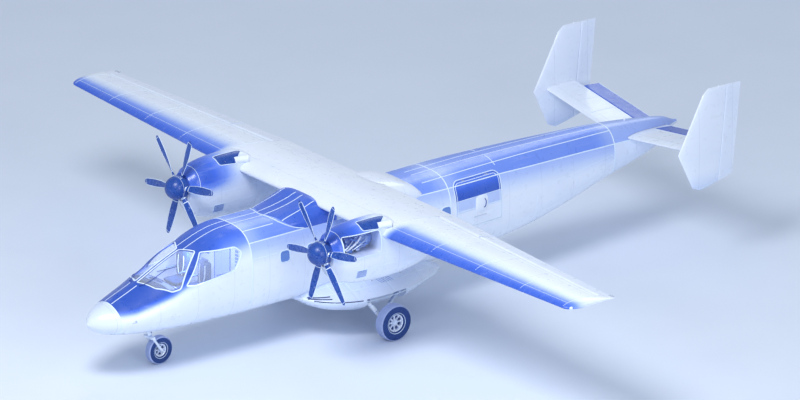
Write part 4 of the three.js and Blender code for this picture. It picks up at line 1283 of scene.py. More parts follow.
def make_nacelle(name, side):
    centre = side * NACELLE_SIDE
    body = Builder()
    places = stations(NACELLE[0][0], NACELLE[-1][0], 0.07, NACELLE)
    body.loft([body_ring(NACELLE, s, 80, 0.0, centre) for s in places], PAINT)
    item = body.build(f"nacelle_fine_{name}", slot="nacelle_skin")
    cowl = COWL_OPENING
    xs = sorted((centre - side * cowl["depth"], centre + side * 0.7))
    sides = rectangle(cowl["front"], cowl["rear"], cowl["low"], cowl["high"])
    corners = rounded([Vector((xs[0], along(s), z)) for s, z in sides], COWL_CORNER)
    boolean(item, prism(corners, Vector((xs[1] - xs[0], 0, 0))), "DIFFERENCE")
    intake = CHIN_INTAKE
    sides = rectangle(centre - intake["half"], centre + intake["half"], intake["low"], intake["high"])
    mouth = rounded([Vector((x, along(intake["front"]), z)) for x, z in sides], INTAKE_CORNER)
    boolean(item, prism(mouth, Vector((0, 0.015 + intake["depth"], 0))), "DIFFERENCE")
    drum = Builder()
    drum.lathe([(0, 0.245), (ENGINE["rear"] - ENGINE["front"] + 0.02, 0.245)],
               (centre, along(ENGINE["front"] - 0.01), ENGINE["height"]), (0, 1, 0), PAINT, 48)
    boolean(item, drum.build("tool"), "DIFFERENCE")
    for spans in NACELLE_WING_CUTS:
        boolean(item, wing_prism(sorted(side * span for span in spans), 0.004), "DIFFERENCE")
    set_tones(item, nacelle_tones)
    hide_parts(f"nacelle_{name}")
    nacelle_details(name, side)
    make_exhaust(name, side)
    make_engine(name, side)


def nacelle_details(name, side):
    centre = side * NACELLE_SIDE
    lines = Builder()
    for station in (5.24, 6.42, 7.05, 8.0, 8.8):
        start, end = (0, 360) if station < 6.42 else (188, 352)
        angles = [math.radians(start + (end - start) * i / 72) for i in range(73)]
        points = [body_point(NACELLE, station, a, 0.0, centre) for a in angles]
        nacelle_strip(lines, side, points[:-1] if end == 360 else points, closed=end == 360)
    for height in (2.55, 2.86):
        for flank in (1, -1):
            points = [on_side(NACELLE, s, height, flank) + Vector((centre, 0, 0))
                      for s in stations(5.3, 7.9, 0.12)]
            nacelle_strip(lines, side, points, 0.009)
    cowl = COWL_OPENING
    rim = rounded_pairs(rectangle(cowl["front"], cowl["rear"], cowl["low"], cowl["high"]), COWL_CORNER)
    points = [nacelle_surface(side, s, z) for s, z in resampled(grown(rim, 0.012), 0.05)]
    nacelle_strip(lines, side, points, 0.026, 0.005, closed=True)
    cooling_vents(lines, side)
    intake_lip(lines, centre)
    lines.build(f"nacelle_seams_{name}", slot="nacelle_skin", crease=50)


def cooling_vents(lines, side):
    """Square vents low on both flanks, each with louvres."""
    centre = side * NACELLE_SIDE
    for flank in (1, -1):
        vent_edge = resampled(rounded_pairs(rectangle(5.62, 5.92, 2.34, 2.56), 0.03), 0.05)
        points = [on_side(NACELLE, s, z, flank) + Vector((centre, 0, 0)) for s, z in vent_edge]
        nacelle_strip(lines, side, points, 0.02, 0.006, closed=True)
        for i in range(7):
            height = 2.365 + 0.028 * i
            slat = [on_side(NACELLE, s, height, flank) + Vector((centre, 0, 0))
                    for s in stations(5.63, 5.91, 0.05)]
            nacelle_strip(lines, side, slat, 0.018, 0.003, MID_BLUE)


def intake_lip(lines, centre):
    """A bright lip round the chin intake, with a probe inside it."""
    intake = CHIN_INTAKE
    sides = rectangle(centre - intake["half"], centre + intake["half"], intake["low"], intake["high"])
    path = [Vector((x, along(5.006), z)) for x, z in resampled(rounded_pairs(sides, INTAKE_CORNER), 0.05)]
    lines.tube([*path, path[0]], 0.012, CHROME)
    lines.rod((centre, along(5.03), 2.725), (centre, along(5.2), 2.725), 0.012, DARK)


def make_exhaust(name, side):
    """A stub that leaves the top of the nacelle, with a dark disc of painted shade in its mouth, and the
    blister round it.
    """
    centre = side * NACELLE_SIDE
    pipes = Builder()
    bore = [(0.0, 0.07), (0.0, 0.085), (0.25, 0.088), (0.34, 0.095), (0.34, 0.082), (0.06, 0.072),
            (0.06, 0.0002)]
    exit_point = Vector((centre + 0.30, along(6.36), 3.50))
    aft = Vector((0.30, 1.0, 0.06))
    pipes.lathe(bore, exit_point, aft, PLAIN_WHITE, 40)
    # A dark disc of painted shade inside the bore.
    pipes.lathe([(0.0, 0.0002), (0.001, 0.071), (0.02, 0.071), (0.02, 0.0002)], exit_point + aft * 0.09, aft,
                DARK, 32)
    outlet = rounded_pairs([(0.06, 5.86), (0.36, 5.86), (0.40, 6.36), (0.10, 6.72)], 0.07)
    fine = resampled(outlet, 0.04)
    edge = [on_roof(NACELLE, s, x, 0.002) for x, s in fine]
    middle_x, middle_s = sum(p[0] for p in fine) / len(fine), sum(p[1] for p in fine) / len(fine)
    rings = []
    for shrink, out in ((1.0, -0.004), (1.0, 0.004), (0.94, 0.008), (0.6, 0.011), (0.2, 0.012)):
        rings.append([on_roof(NACELLE, middle_s + (s - middle_s) * shrink, middle_x
                              + (x - middle_x) * shrink, out)
                      + Vector((centre, 0, 0)) for x, s in fine])
    pipes.loft(rings, NAVY)
    nacelle_strip(pipes, side, [p + Vector((centre, 0, 0)) for p in edge], 0.020, 0.012, closed=True)
    pipes.build(f"exhaust_{name}", slot="engine", crease=45)


def make_engine(name, side):
    centre = Vector((side * NACELLE_SIDE, 0, ENGINE["height"]))
    front = centre + Vector((0, along(ENGINE["front"]), 0))
    core = Builder()
    profile = [(0.0, 0.0002), (0.0, 0.12), (0.06, 0.13), (0.08, 0.19), (0.10, 0.2), (0.12, 0.19),
               (0.30, 0.165),
               (0.32, 0.22), (0.35, 0.225), (0.37, 0.18), (0.58, 0.17), (0.60, 0.215), (0.63, 0.215),
               (0.65, 0.19),
               (0.90, 0.21), (0.92, 0.23), (0.96, 0.23), (0.98, 0.2), (1.12, 0.16), (1.17, 0.13),
               (1.17, 0.0002)]
    core.lathe(profile, front, (0, 1, 0), CASTING, 56)
    for place, radius in ((0.335, 0.222), (0.615, 0.212), (0.94, 0.226)):
        for i in range(24):
            angle = 2 * math.pi * i / 24
            spot = front + Vector((math.cos(angle) * radius, place - 0.022, math.sin(angle) * radius))
            core.rod(spot, spot + Vector((0, 0.044, 0)), 0.006, STEEL, sides=6)
    for i in range(9):
        angle = math.radians(-80 + 20 * i)
        ring = Vector((side * math.cos(angle) * 0.2, 0, math.sin(angle) * 0.2))
        core.tube([front + ring + Vector((0, 0.64, 0)), front + ring * 1.12 + Vector((0, 0.75, 0)),
                   front + ring * 1.1 + Vector((0, 0.9, 0))], 0.008, STEEL)
    diagonals = [((0.16, -0.17), (0.55, 0.10), 0.022, STEEL), ((0.34, -0.15), (0.78, 0.13), 0.028, LINING),
                 ((0.52, -0.16), (0.98, 0.09), 0.020, STEEL), ((0.22, 0.12), (0.72, -0.14), 0.012, NAVY),
                 ((0.46, 0.14), (1.02, -0.10), 0.014, MID_BLUE)]
    for (y0, z0), (y1, z1), radius, material in diagonals:
        bow = 0.225
        points = [front + Vector((side * (bow - 0.03), y0, z0)),
                  front + Vector((side * (bow + 0.015), (2 * y0 + y1) / 3, (2 * z0 + z1) / 3)),
                  front + Vector((side * (bow + 0.015), (y0 + 2 * y1) / 3, (z0 + 2 * z1) / 3)),
                  front + Vector((side * (bow - 0.03), y1, z1))]
        core.tube(points, radius, material, 16)
    core.box(front + Vector((side * 0.12 - 0.05, 0.40, -0.235)), front
             + Vector((side * 0.12 + 0.05, 0.56, -0.15)),
             MID_BLUE, 0.012)
    core.box(front + Vector((side * 0.10 - 0.05, 0.68, -0.235)), front
             + Vector((side * 0.10 + 0.05, 0.8, -0.17)),
             STEEL, 0.012)
    item = core.build(f"engine_fine_{name}", slot="engine", crease=38)
    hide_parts(f"engine_{name}")


# ---------------------------------------------------------------- propellers

BLADE = [
    (0.16, 0.100, 0.60, 54), (0.3, 0.145, 0.27, 34), (0.5, 0.195, 0.14, 16), (0.72, 0.200, 0.10, 6),
    (0.9, 0.170, 0.08, 2), (1.0, 0.060, 0.10, 1),
]


def blade_ring(side, azimuth, fraction, grow=0.0, count=28):
    chord, ratio, pitch = [interpolate([(row[0], row[c]) for row in BLADE], fraction) for c in (1, 2, 3)]
    if fraction > 0.9:
        t = (fraction - 0.9) / 0.1
        chord = max(0.030, 0.17 * math.sqrt(max(1 - t * t, 0.0)))
    outward_axis = Vector((math.cos(azimuth), 0, math.sin(azimuth)))
    around = Vector((-math.sin(azimuth), 0, math.cos(azimuth)))
    turn = math.radians(pitch)
    chordwise = around * math.cos(turn) + Vector((0, math.sin(turn), 0))
    across = outward_axis.cross(chordwise)
    hub = Vector((side * NACELLE_SIDE, along(PROPELLER["station"]), PROPELLER["height"]))
    centre = hub + outward_axis * fraction * PROPELLER["radius"]
    half, thick = chord / 2 + grow, chord * ratio / 2 + grow
    return [centre + chordwise * half * math.cos(a) + across * thick * signed_power(math.sin(a), 1.15)
            for a in (2 * math.pi * i / count for i in range(count))]


def make_propeller(name, side):
    hub = Vector((side * NACELLE_SIDE, along(SPINNER["tip"]), PROPELLER["height"]))
    length = SPINNER["flange"] - SPINNER["tip"]
    radius = SPINNER["radius"]
    dome = [(length * (1 - math.cos(a)), radius * math.sin(a))
            for a in (math.pi / 2 * i / 22 for i in range(23))]
    rear = SPINNER["base"] - SPINNER["tip"]
    parts = Builder()
    profile = [*dome, (rear - 0.04, radius), (rear - 0.035, radius - 0.006), (rear - 0.028, radius - 0.006),
               (rear - 0.023, radius), (rear - 0.004, radius), (rear, radius - 0.005), (rear, 0.0)]
    parts.lathe(profile, hub, (0, 1, 0), NAVY, 72)
    place = length + 0.015
    band = [(place - 0.004, radius - 0.006), (place - 0.002, radius + 0.0035),
            (place + 0.003, radius + 0.004),
            (place + 0.005, radius - 0.004), (place - 0.004, radius - 0.006)]
    parts.lathe(band, hub, (0, 1, 0), SEAM, 72)
    step = 2 * math.pi / PROPELLER["blades"]
    for i in range(PROPELLER["blades"]):
        azimuth = math.radians(PROPELLER["phase"]) + i * step
        fractions = spread([0.16, 0.3, 0.5, 0.72, 0.9], 0.02) + [0.92, 0.94, 0.96, 0.975, 0.985, 0.995, 1.0]
        parts.loft([blade_ring(side, azimuth, f) for f in fractions], BLADE_PAINT)
        parts.loft([blade_ring(side, azimuth, f, 0.003) for f in (0.292, 0.306)], SEAM)
        parts.loft([blade_ring(side, azimuth, f, 0.0015) for f in (0.955, 0.963)], SEAM)
        parts.loft([blade_ring(side, azimuth, f, g) for f, g in
                    ((0.165, 0.010), (0.19, 0.012), (0.225, 0.010), (0.232, 0.001))], STEEL)
        for edge in (0, 14):
            path = [blade_ring(side, azimuth, f)[edge] for f in spread([0.31, 0.95], 0.04)]
            parts.tube(path, 0.0065, SEAM, 8)
    item = parts.build(f"propeller_fine_{name}", f"propeller_{name}", "propeller", crease=40)
    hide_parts(f"propeller_{name}")


# ---------------------------------------------------------------- sponsons

SPONSON = [
    (5.7, 0.1, 0), (5.95, 0.42, 0), (6.35, 0.74, 0), (6.95, 0.95, 0), (7.6, 1.0, 0),
    (8.4, 0.92, 0), (9.1, 0.7, 0.01), (9.7, 0.44, 0.07), (10.1, 0.14, 0.19),
]
SPONSON_SECTION = [
    (0.6, 1.45), (0.9, 1.4), (1.28, 1.24), (1.64, 1.1), (1.8, 0.98),
    (1.745, 0.83), (1.48, 0.675), (1.08, 0.6), (0.7, 0.66), (0.6, 0.85),
]
SPONSON_CORE = (0.62, 1.08)
WHEEL_WELL = {"inner": 1.24, "outer": 1.85, "front": 7.12, "rear": 8.35, "top": 1.01}


def sponson_outline():
    """The section's corners rounded into one smooth closed outline."""
    points = [Vector((x, 0, z)) for x, z in SPONSON_SECTION]
    fine = []
    count = len(points)
    for i in range(count):
        a, b, c, d = (points[(i + k) % count] for k in (-1, 0, 1, 2))
        for j in range(7):
            t = j / 7
            curve = 0.5 * ((2 * b) + (c - a) * t + (2 * a - 5 * b + 4 * c - d) * t ** 2
                           + (3 * b - a - 3 * c + d) * t ** 3)
            fine.append(curve.lerp(b.lerp(c, t), 0.35))
    return fine


def sponson_rows():
    """Scale and drop at closely spaced stations, eased between the table's rows."""
    rows = [(s, scale, drop, 0, 0, 0) for s, scale, drop in SPONSON]
    for s in stations(SPONSON[0][0], SPONSON[-1][0], 0.09, SPONSON):
        linear_scale = interpolate([(r[0], r[1]) for r in SPONSON], s)
        linear_drop = interpolate([(r[0], r[2]) for r in SPONSON], s)
        scale, drop = row_at(rows, s)[:2]
        yield s, linear_scale * 0.3 + scale * 0.7, linear_drop * 0.3 + drop * 0.7


def make_sponson(name, side):
    outline = sponson_outline()
    body = Builder()
    rings = []
    for station, scale, drop in sponson_rows():
        rings.append([Vector((side * (SPONSON_CORE[0] + (p.x - SPONSON_CORE[0]) * scale), along(station),
                              SPONSON_CORE[1] + (p.z - SPONSON_CORE[1]) * scale - drop)) for p in outline])
    body.loft(rings, PAINT)
    item = body.build(f"sponson_fine_{name}", slot="sponson_skin")
    core = Builder()
    core.loft([body_ring(FUSELAGE, s, 96, -0.004) for s in stations(5.4, 10.29, 0.2)], PAINT)
    boolean(item, core.build("tool"), "DIFFERENCE")
    well = WHEEL_WELL
    xs = sorted((side * well["inner"], side * well["outer"]))
    edges = rectangle(xs[0], xs[1], along(well["front"]), along(well["rear"]))
    corners = rounded([Vector((x, y, -0.1)) for x, y in edges], 0.10)
    boolean(item, prism(corners, Vector((0, 0, well["top"] + 0.1))), "DIFFERENCE")
    set_tones(item, lambda p: {"tone": 0.10 + 0.12 * smooth_step(1.0, 1.4, p.z)})
    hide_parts(f"sponson_{name}")
    lines = Builder()

    def on_sponson(station, index, out=0.0):
        place = min(range(len(rings)), key=lambda i: abs(rings[i][0].y - along(station)))
        low, high = (place, place + 1) if rings[place][0].y <= along(station) else (place - 1, place)
        a, b = rings[max(low, 0)], rings[min(high, len(rings) - 1)]
        share = min(max((along(station) - a[0].y) / max(b[0].y - a[0].y, 1e-6), 0.0), 1.0)
        base, top = int(index), min(int(index) + 1, len(a) - 1)
        part = index - base
        point = a[base].lerp(a[top], part).lerp(b[base].lerp(b[top], part), share)
        normal = Vector((side * (point.x * side - SPONSON_CORE[0]) * 0.5, 0, point.z - 1.02)).normalized()
        return point + normal * out, normal

    def mark(places, width, height, material):
        found = [on_sponson(*place) for place in places]
        ribbon(lines, [p for p, _ in found], [n for _, n in found], width, height, material)

    for station in (6.15, 6.5, 6.95, 7.4, 8.0, 8.55, 9.1, 9.6):
        mark([(station, 7 + 0.9 * i) for i in range(21)], 0.014, 0.005, SEAM)
    for index in (11, 17):
        mark([(s, index) for s in stations(6.1, 9.7, 0.12)], 0.012, 0.005, SEAM)
    mark([(s, 27.5) for s in stations(5.98, 7.02, 0.08)], 0.040, 0.004, DARK)
    mark([(s, 29) for s in stations(5.98, 9.9, 0.1)], 0.018, 0.007, SEAM)
    for index, start in ((22.5, 5.9), (19.5, 5.9)):
        mark([(start + 0.055 * i, index + 0.35 * math.sin(0.5 * i)) for i in range(9)], 0.045, 0.005, DARK)
        mark([(start + 0.055 * i, index - 1.3 + 0.35 * math.sin(0.5 * i)) for i in range(9)], 0.016, 0.008,
             SEAM)
    for i in range(6):
        station = 7.75 + 0.07 * i
        mark([(station + 0.02 * k, 13.0 + 0.8 * k) for k in range(6)], 0.014, 0.004, MID_BLUE)
    for spot in (0.0, 0.42, 0.84):
        point, normal = on_sponson(6.7 + 2.2 * spot, 14)
        lines.lathe([(0, 0.0002), (0.001, 0.022), (0.006, 0.022), (0.008, 0.017), (0.008, 0.0002)],
                    point - normal * 0.002, normal, CHROME, 24)
    lines.build(f"sponson_seams_{name}", slot="sponson_skin", crease=50)


# ---------------------------------------------------------------- wheels and landing gear

MAIN_WHEEL = {"side": 2.17, "station": 7.6, "radius": 0.45, "width": 0.3, "rim": 0.225}
NOSE_WHEEL = {"side": 0.0, "station": 2.15, "radius": 0.35, "width": 0.2, "rim": 0.165}
NOSE_LEG = {"station": 1.87, "radius": 0.075, "top": 0.985, "split": 0.83}
MAIN_LEG = {
    "arm_pivot": ((1.29, 7.23, 0.93), (1.68, 7.23, 0.93)), "arm": ((1.56, 7.23, 0.93), (1.84, 7.5, 0.48)),
    "arm_foot": ((1.78, 7.48, 0.5), (1.86, 7.66, 0.45)),
            "strut_pivot": ((1.38, 8.2, 0.94), (1.66, 8.2, 0.94)),
    "strut": ((1.56, 8.2, 0.94), (1.8, 7.56, 0.56)),
}


def make_tyre(name, body, wheel, side):
    radius, half, rim = wheel["radius"], wheel["width"] / 2, wheel["rim"]
    centre = Vector((side * wheel["side"], along(wheel["station"]), radius))
    groove, rib = 0.010, 0.022
    wall = [(-half * 0.62, rim + 0.002), (-half * 0.80, rim + 0.004), (-half * 0.86, rim + 0.02)]
    middle = (rim + radius) / 2 + 0.008
    for i in range(13):
        angle = math.radians(-62 + 124 * i / 12)
        wall.append((-half * (0.86 + 0.14 * math.cos(angle)), middle
                     + (radius - rim) * 0.40 * math.sin(angle)))
    wall = [(d, min(r, radius - 0.01)) for d, r in wall]
    crown = half * 0.78
    profile = [*wall, (-crown, radius - 0.006)]
    bands = 4
    for i in range(-bands, bands + 1, 2):
        middle = i / (bands + 0.6) * crown * 0.92
        profile += [(middle - rib / 2, radius), (middle - groove / 2, radius),
                    (middle - groove / 3, radius - 0.010),
                    (middle + groove / 3, radius - 0.010), (middle + groove / 2, radius),
                    (middle + rib / 2, radius)]
    outline = [*profile, *[(-d, r) for d, r in reversed(wall)], profile[0]]
    tyre = Builder()
    tyre.lathe(outline, centre, (1, 0, 0), SIDEWALL, 128)
    for face in (-1, 1):
        ring = [(face * half * 0.90, rim + 0.030), (face * (half * 0.94), rim + 0.034),
                (face * (half * 0.955), rim + 0.040),
                (face * half * 0.92, rim + 0.044), (face * half * 0.90, rim + 0.030)]
        tyre.lathe(ring, centre, (1, 0, 0), SEAM, 96)
    item = tyre.build(f"{name}_fine", body, "tyre", crease=40)
    tread_index = len(item.data.materials)
    item.data.materials.append(TREAD)
    for polygon in item.data.polygons:
        middle = polygon.center
        distance = math.hypot(middle.y - centre.y, middle.z - centre.z)
        if distance > radius - 0.028 and item.data.materials[polygon.material_index] == SIDEWALL:
            polygon.material_index = tread_index
    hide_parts(name)


def make_hub(name, body, wheel, side, spokes):
    half, rim = wheel["width"] * 0.3, wheel["rim"] - 0.002
    centre = Vector((side * wheel["side"], along(wheel["station"]), wheel["radius"]))
    hub = Builder()
    barrel = [(-half, rim - 0.03), (-half - 0.012, rim - 0.006), (-half - 0.012, rim),
              (-half * 0.6, rim - 0.008),
              (half * 0.6, rim - 0.008), (half + 0.012, rim), (half + 0.012, rim - 0.006),
              (half, rim - 0.03),
              (half * 0.4, rim - 0.038), (-half * 0.4, rim - 0.038), (-half, rim - 0.03)]
    hub.lathe(barrel, centre, (1, 0, 0), ALLOY, 96)
    # A dark disc of painted shade behind the spokes.
    disc = [(-half * 0.25, 0.0002), (-half * 0.3, rim * 0.88), (half * 0.3, rim * 0.88),
            (half * 0.25, 0.0002)]
    hub.lathe(disc, centre, (1, 0, 0), DARK, 72)
    boss = rim * 0.36
    middle = [(-half * 0.98, 0.0002), (-half * 0.98, boss * 0.55), (-half * 0.88, boss * 0.6),
              (-half * 0.84, boss * 0.9),
              (-half * 0.7, boss), (half * 0.7, boss), (half * 0.84, boss * 0.9), (half * 0.88, boss * 0.6),
              (half * 0.98, boss * 0.55), (half * 0.98, 0.0002)]
    hub.lathe(middle, centre, (1, 0, 0), ALLOY, 64)
    for i in range(spokes):
        angle = 2 * math.pi * i / spokes
        spoke = Vector((0, math.cos(angle), math.sin(angle)))
        hub.loft(spoke_rings(centre, spoke, boss * 0.8, rim - 0.030, half), ALLOY)
        between = Vector((0, math.cos(angle + math.pi / spokes), math.sin(angle + math.pi / spokes)))
        for face in (-1, 1):
            place = centre + between * boss * 0.76 + Vector((face * half * 0.80, 0, 0))
            hub.rod(place, place + Vector((face * 0.012, 0, 0)), 0.009, STEEL, sides=6)
    item = hub.build(f"{name}_fine", body, "wheel_metal", crease=38)
    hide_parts(name)


def spoke_rings(centre, spoke, start, end, half):
    """A waisted spoke with rounded edges between the boss and the rim."""
    across = Vector((1, 0, 0)).cross(spoke)
    rings = []
    for i in range(9):
        t = i / 8
        reach = start + (end - start) * t
        width = (end * 0.17) * (1.15 - 0.5 * math.sin(math.pi * t))
        depth = half * (0.78 - 0.16 * math.sin(math.pi * t))
        ring = []
        for k in range(16):
            a = 2 * math.pi * k / 16
            c, s = math.cos(a), math.sin(a)
            ring.append(centre + spoke * reach + across * width * signed_power(c, 0.6)
                        + Vector((depth * signed_power(s, 0.6), 0, 0)))
        rings.append(ring)
    return rings


def make_main_leg(name, side):
    leg = Builder()

    def at(point, dx=0.0, dy=0.0, dz=0.0):
        x, station, z = point
        return Vector((side * (x + dx), along(station) + dy, z + dz))

    leg.rod(at(MAIN_LEG["arm_pivot"][0]), at(MAIN_LEG["arm_pivot"][1]), 0.055, STEEL)
    leg.rod(at(MAIN_LEG["strut_pivot"][0]), at(MAIN_LEG["strut_pivot"][1]), 0.045, STEEL)
    start, end = at(MAIN_LEG["arm"][0]), at(MAIN_LEG["arm"][1])
    arm = [(0, 0.05), (0.02, 0.062), (0.12, 0.064), (0.2, 0.056), (0.36, 0.052), (0.46, 0.054),
           ((end - start).length, 0.05)]
    leg.lathe(arm, start, end - start, PLAIN_WHITE, 36)
    leg.rod(at(MAIN_LEG["arm_foot"][0]), at(MAIN_LEG["arm_foot"][1]), 0.075, PLAIN_WHITE, sides=36)
    start, end = at(MAIN_LEG["strut"][0]), at(MAIN_LEG["strut"][1])
    length = (end - start).length
    sleeve = [(0, 0.035), (0.02, 0.045), (length * 0.52, 0.045), (length * 0.53, 0.05),
              (length * 0.58, 0.05),
              (length * 0.59, 0.040), (length * 0.60, 0.028), (length * 0.9, 0.028), (length * 0.91, 0.04),
              (length, 0.038)]
    leg.lathe(sleeve, start, end - start, STEEL, 32)
    leg.lathe([(length * 0.605, 0.0285), (length * 0.89, 0.0285)], start, end - start, CHROME, 32)
    inner_axle = MAIN_WHEEL["side"] - MAIN_WHEEL["width"] * 0.3 - 0.006
    axle_y, axle_z = along(MAIN_WHEEL["station"]), MAIN_WHEEL["radius"]
    leg.rod((side * 1.80, axle_y, axle_z), (side * (inner_axle - 0.012), axle_y, axle_z), 0.05, STEEL,
            sides=32)
    leg.lathe([(0, 0.06), (0.006, 0.10), (0.03, 0.105), (0.034, 0.06)], (side * 1.93, axle_y, axle_z),
              (side, 0, 0),
              DARK, 40)
    hose = [at((1.56, 7.25, 0.99)), at((1.66, 7.36, 0.82)), at((1.80, 7.42, 0.62)), at((1.90, 7.48, 0.54)),
            at((1.94, 7.56, 0.52))]
    leg.tube(hose, 0.009, DARK)
    for clip in (0.3, 0.62):
        spot = at(MAIN_LEG["arm"][0]).lerp(at(MAIN_LEG["arm"][1]), clip)
        direction = (at(MAIN_LEG["arm"][1]) - at(MAIN_LEG["arm"][0])).normalized()
        leg.lathe([(0, 0.05), (0, 0.066), (0.018, 0.066), (0.018, 0.05)], spot, direction, STEEL, 32)
    item = leg.build(f"main_leg_fine_{name}", slot="gear_metal", crease=38)
    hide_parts(f"main_leg_{name}")


def make_nose_gear():
    station = along(NOSE_LEG["station"])
    leg = Builder()
    sleeve = [(0.0, 0.06), (0.006, 0.075), (0.03, 0.075), (0.034, 0.068), (0.13, 0.068), (0.135, 0.075),
              (0.15, 0.075), (0.155, 0.06)]
    leg.lathe(sleeve, (0, station, NOSE_LEG["split"]), (0, 0, 1), PLAIN_WHITE, 40)
    leg.tube([(0.07, station, 0.84), (0.075, station, 0.90), (0.06, station, 0.97)], 0.008, DARK)
    item = leg.build("nose_leg_fine", slot="gear_metal", crease=38)
    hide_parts("nose_leg")

    fork = Builder()
    arm_side, height = NOSE_WHEEL["width"] / 2 + 0.045, 0.74
    fork.box((-arm_side - 0.025, station - 0.06, 0.715), (arm_side + 0.025, station + 0.06, 0.765),
             PLAIN_WHITE, 0.016)
    fork.rod((0, station, height), (0, station, NOSE_LEG["split"] - 0.001), 0.05, CHROME, sides=36)
    fork.lathe([(0, 0.03), (0.004, 0.062), (0.016, 0.062), (0.02, 0.03)], (0, station, 0.766), (0, 0, 1),
               STEEL, 36)
    axle = Vector((0, along(NOSE_WHEEL["station"]), NOSE_WHEEL["radius"]))
    for side in SIDES.values():
        top, low = Vector((side * arm_side, station, height)), axle + Vector((side * arm_side, 0, 0))
        length = (low - top).length
        arm = [(0, 0.024), (0.01, 0.034), (0.06, 0.036), (0.12, 0.030), (length - 0.09, 0.028),
               (length - 0.04, 0.034),
               (length, 0.030)]
        fork.lathe(arm, top, low - top, PLAIN_WHITE, 28)
        fork.rod(low + Vector((side * 0.022, 0, 0)), low - Vector((side * (arm_side - 0.068), 0, 0)), 0.030,
                 STEEL, sides=28)
        fork.lathe([(0, 0.0002), (0, 0.018), (0.012, 0.018), (0.014, 0.014), (0.014, 0.0002)],
                   low + Vector((side * 0.02, 0, 0)), (side, 0, 0), CHROME, 6)
    item = fork.build("nose_fork_fine", "nose_steering", "gear_metal", crease=38)
    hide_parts("nose_fork")


# ---------------------------------------------------------------- tail

STABILISER = {"lead": 16.155, "trail": 17.55, "height": 2.7, "ratio": 0.09, "hinge": 0.68, "root": 0.4,
              "end": 2.5}
TILT = math.radians(8)
CONE_SIDES = 96
FIN_SIDE = 2.864
FIN_RATIO = 0.08
FIN_LEAN = 0.105
FIN_TRAIL = (17.5, 2.33)
RUDDER_HINGE = (17.07, 2.33)
FIN = [(16.48, 2.04, 2.27), (16.26, 2.13, 2.33), (15.81, 3.08, 3.1), (16.56, 4.48, 4.5), (16.72, 4.62, 4.6)]


def stabiliser_section(side, distance, swell=0.0):
    x, z = distance * math.cos(TILT), STABILISER["height"] + distance * math.sin(TILT)
    up = (-side * math.sin(TILT), 0, math.cos(TILT)) if distance > 0 else (0, 0, 1)
    return Section((side * x, along(STABILISER["lead"] - swell), z),
                   (side * x, along(STABILISER["trail"] + swell), z),
                   up, STABILISER["ratio"], 0.0, STABILISER["hinge"], swell)


def fin_section(side, lead_station, lead_height, trail_height, thickness, swell=0.0):
    trail_station = FIN_TRAIL[0] + FIN_LEAN * (trail_height - FIN_TRAIL[1])
    hinge_station = RUDDER_HINGE[0] + FIN_LEAN * (lead_height - RUDDER_HINGE[1])
    rise = FIN_LEAN * (trail_height - lead_height)
    hinge = (hinge_station - lead_station) / (trail_station - lead_station - rise)
    return Section((side * FIN_SIDE, along(lead_station - swell), lead_height),
                   (side * FIN_SIDE, along(trail_station + swell), trail_height),
                   (side, 0, 0), FIN_RATIO * thickness, 0.0, hinge, swell)


def fin_sections(side, swell=0.0, pieces=5):
    """Sections between the table's rows; the first and last rows are half as thick."""
    rows = [(*row, 0.5 if i in (0, len(FIN) - 1) else 1.0) for i, row in enumerate(FIN)]
    sections = []
    for a, b in zip(rows, rows[1:]):
        for k in range(pieces):
            t = k / pieces
            lead, low, high, thick = [a[c] + (b[c] - a[c]) * t for c in range(4)]
            sections.append(fin_section(side, lead, low, high, thick, swell))
    sections.append(fin_section(side, *rows[-1], swell))
    return sections


def make_tail():
    cone = cone_shell()
    tool = Builder()
    places = [(1, 0.74), (1, 0.0), (-1, 0.74)]
    tool.loft([stabiliser_section(side, distance, 0.005).front_ring(1.0, 18) for side, distance in places],
              PAINT)
    boolean(cone, tool.build("tool"), "DIFFERENCE")
    set_tones(cone, lambda p: {"above": p.z - interpolate(BOUNDARY, p.y + HALF_LENGTH), "tone": 0.40,
                               "tone_low": 0.08})
    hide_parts("tail_cone")

    root = STABILISER["root"] - 0.03
    reach = FIN_SIDE / math.cos(TILT)
    plane = Builder()
    plane.loft([stabiliser_section(*p).front_ring() for p in ((-1, root), (1, 0.0), (1, root))], PAINT)
    for side in SIDES.values():
        sections = [stabiliser_section(side, d) for d in spread([root - 0.001, reach], 0.25)]
        plane.loft([s.front_ring(s.cut()) for s in sections], PAINT)
    item = plane.build("stabiliser_fine", slot="tail_skin", crease=40)
    for side in SIDES.values():
        tool = Builder()
        tool.loft([s.front_ring(1.0, 14) for s in fin_sections(side, 0.004, 2)], PAINT)
        boolean(item, tool.build("tool"), "DIFFERENCE")
    set_tones(item, plain_tones(0.04))
    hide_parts("stabiliser")

    for name, side in SIDES.items():
        fin = Builder()
        fin.loft([s.front_ring(s.cut()) for s in fin_sections(side)], PAINT)
        finish_panel(fin, f"fin_fine_{name}", "tail_skin",
                     lambda p: {"tone": 0.03 + 0.12 * smooth_step(2.6, 2.05, p.z)}, f"fin_{name}")
        rudder = Builder()
        rudder.loft([s.rear_ring() for s in fin_sections(side)], PAINT)
        finish_panel(rudder, f"rudder_fine_{name}", "tail_skin", plain_tones(0.05), f"rudder_{name}",
                     f"rudder_{name}")
        elevator = Builder()
        spans = spread([STABILISER["root"], STABILISER["end"]], 0.2)
        elevator.loft([stabiliser_section(side, d).rear_ring() for d in spans], PAINT)
        finish_panel(elevator, f"elevator_fine_{name}", "elevator_skin", plain_tones(0.86),
                     f"elevator_{name}",
                     f"elevator_{name}")
        tail_details(name, side)


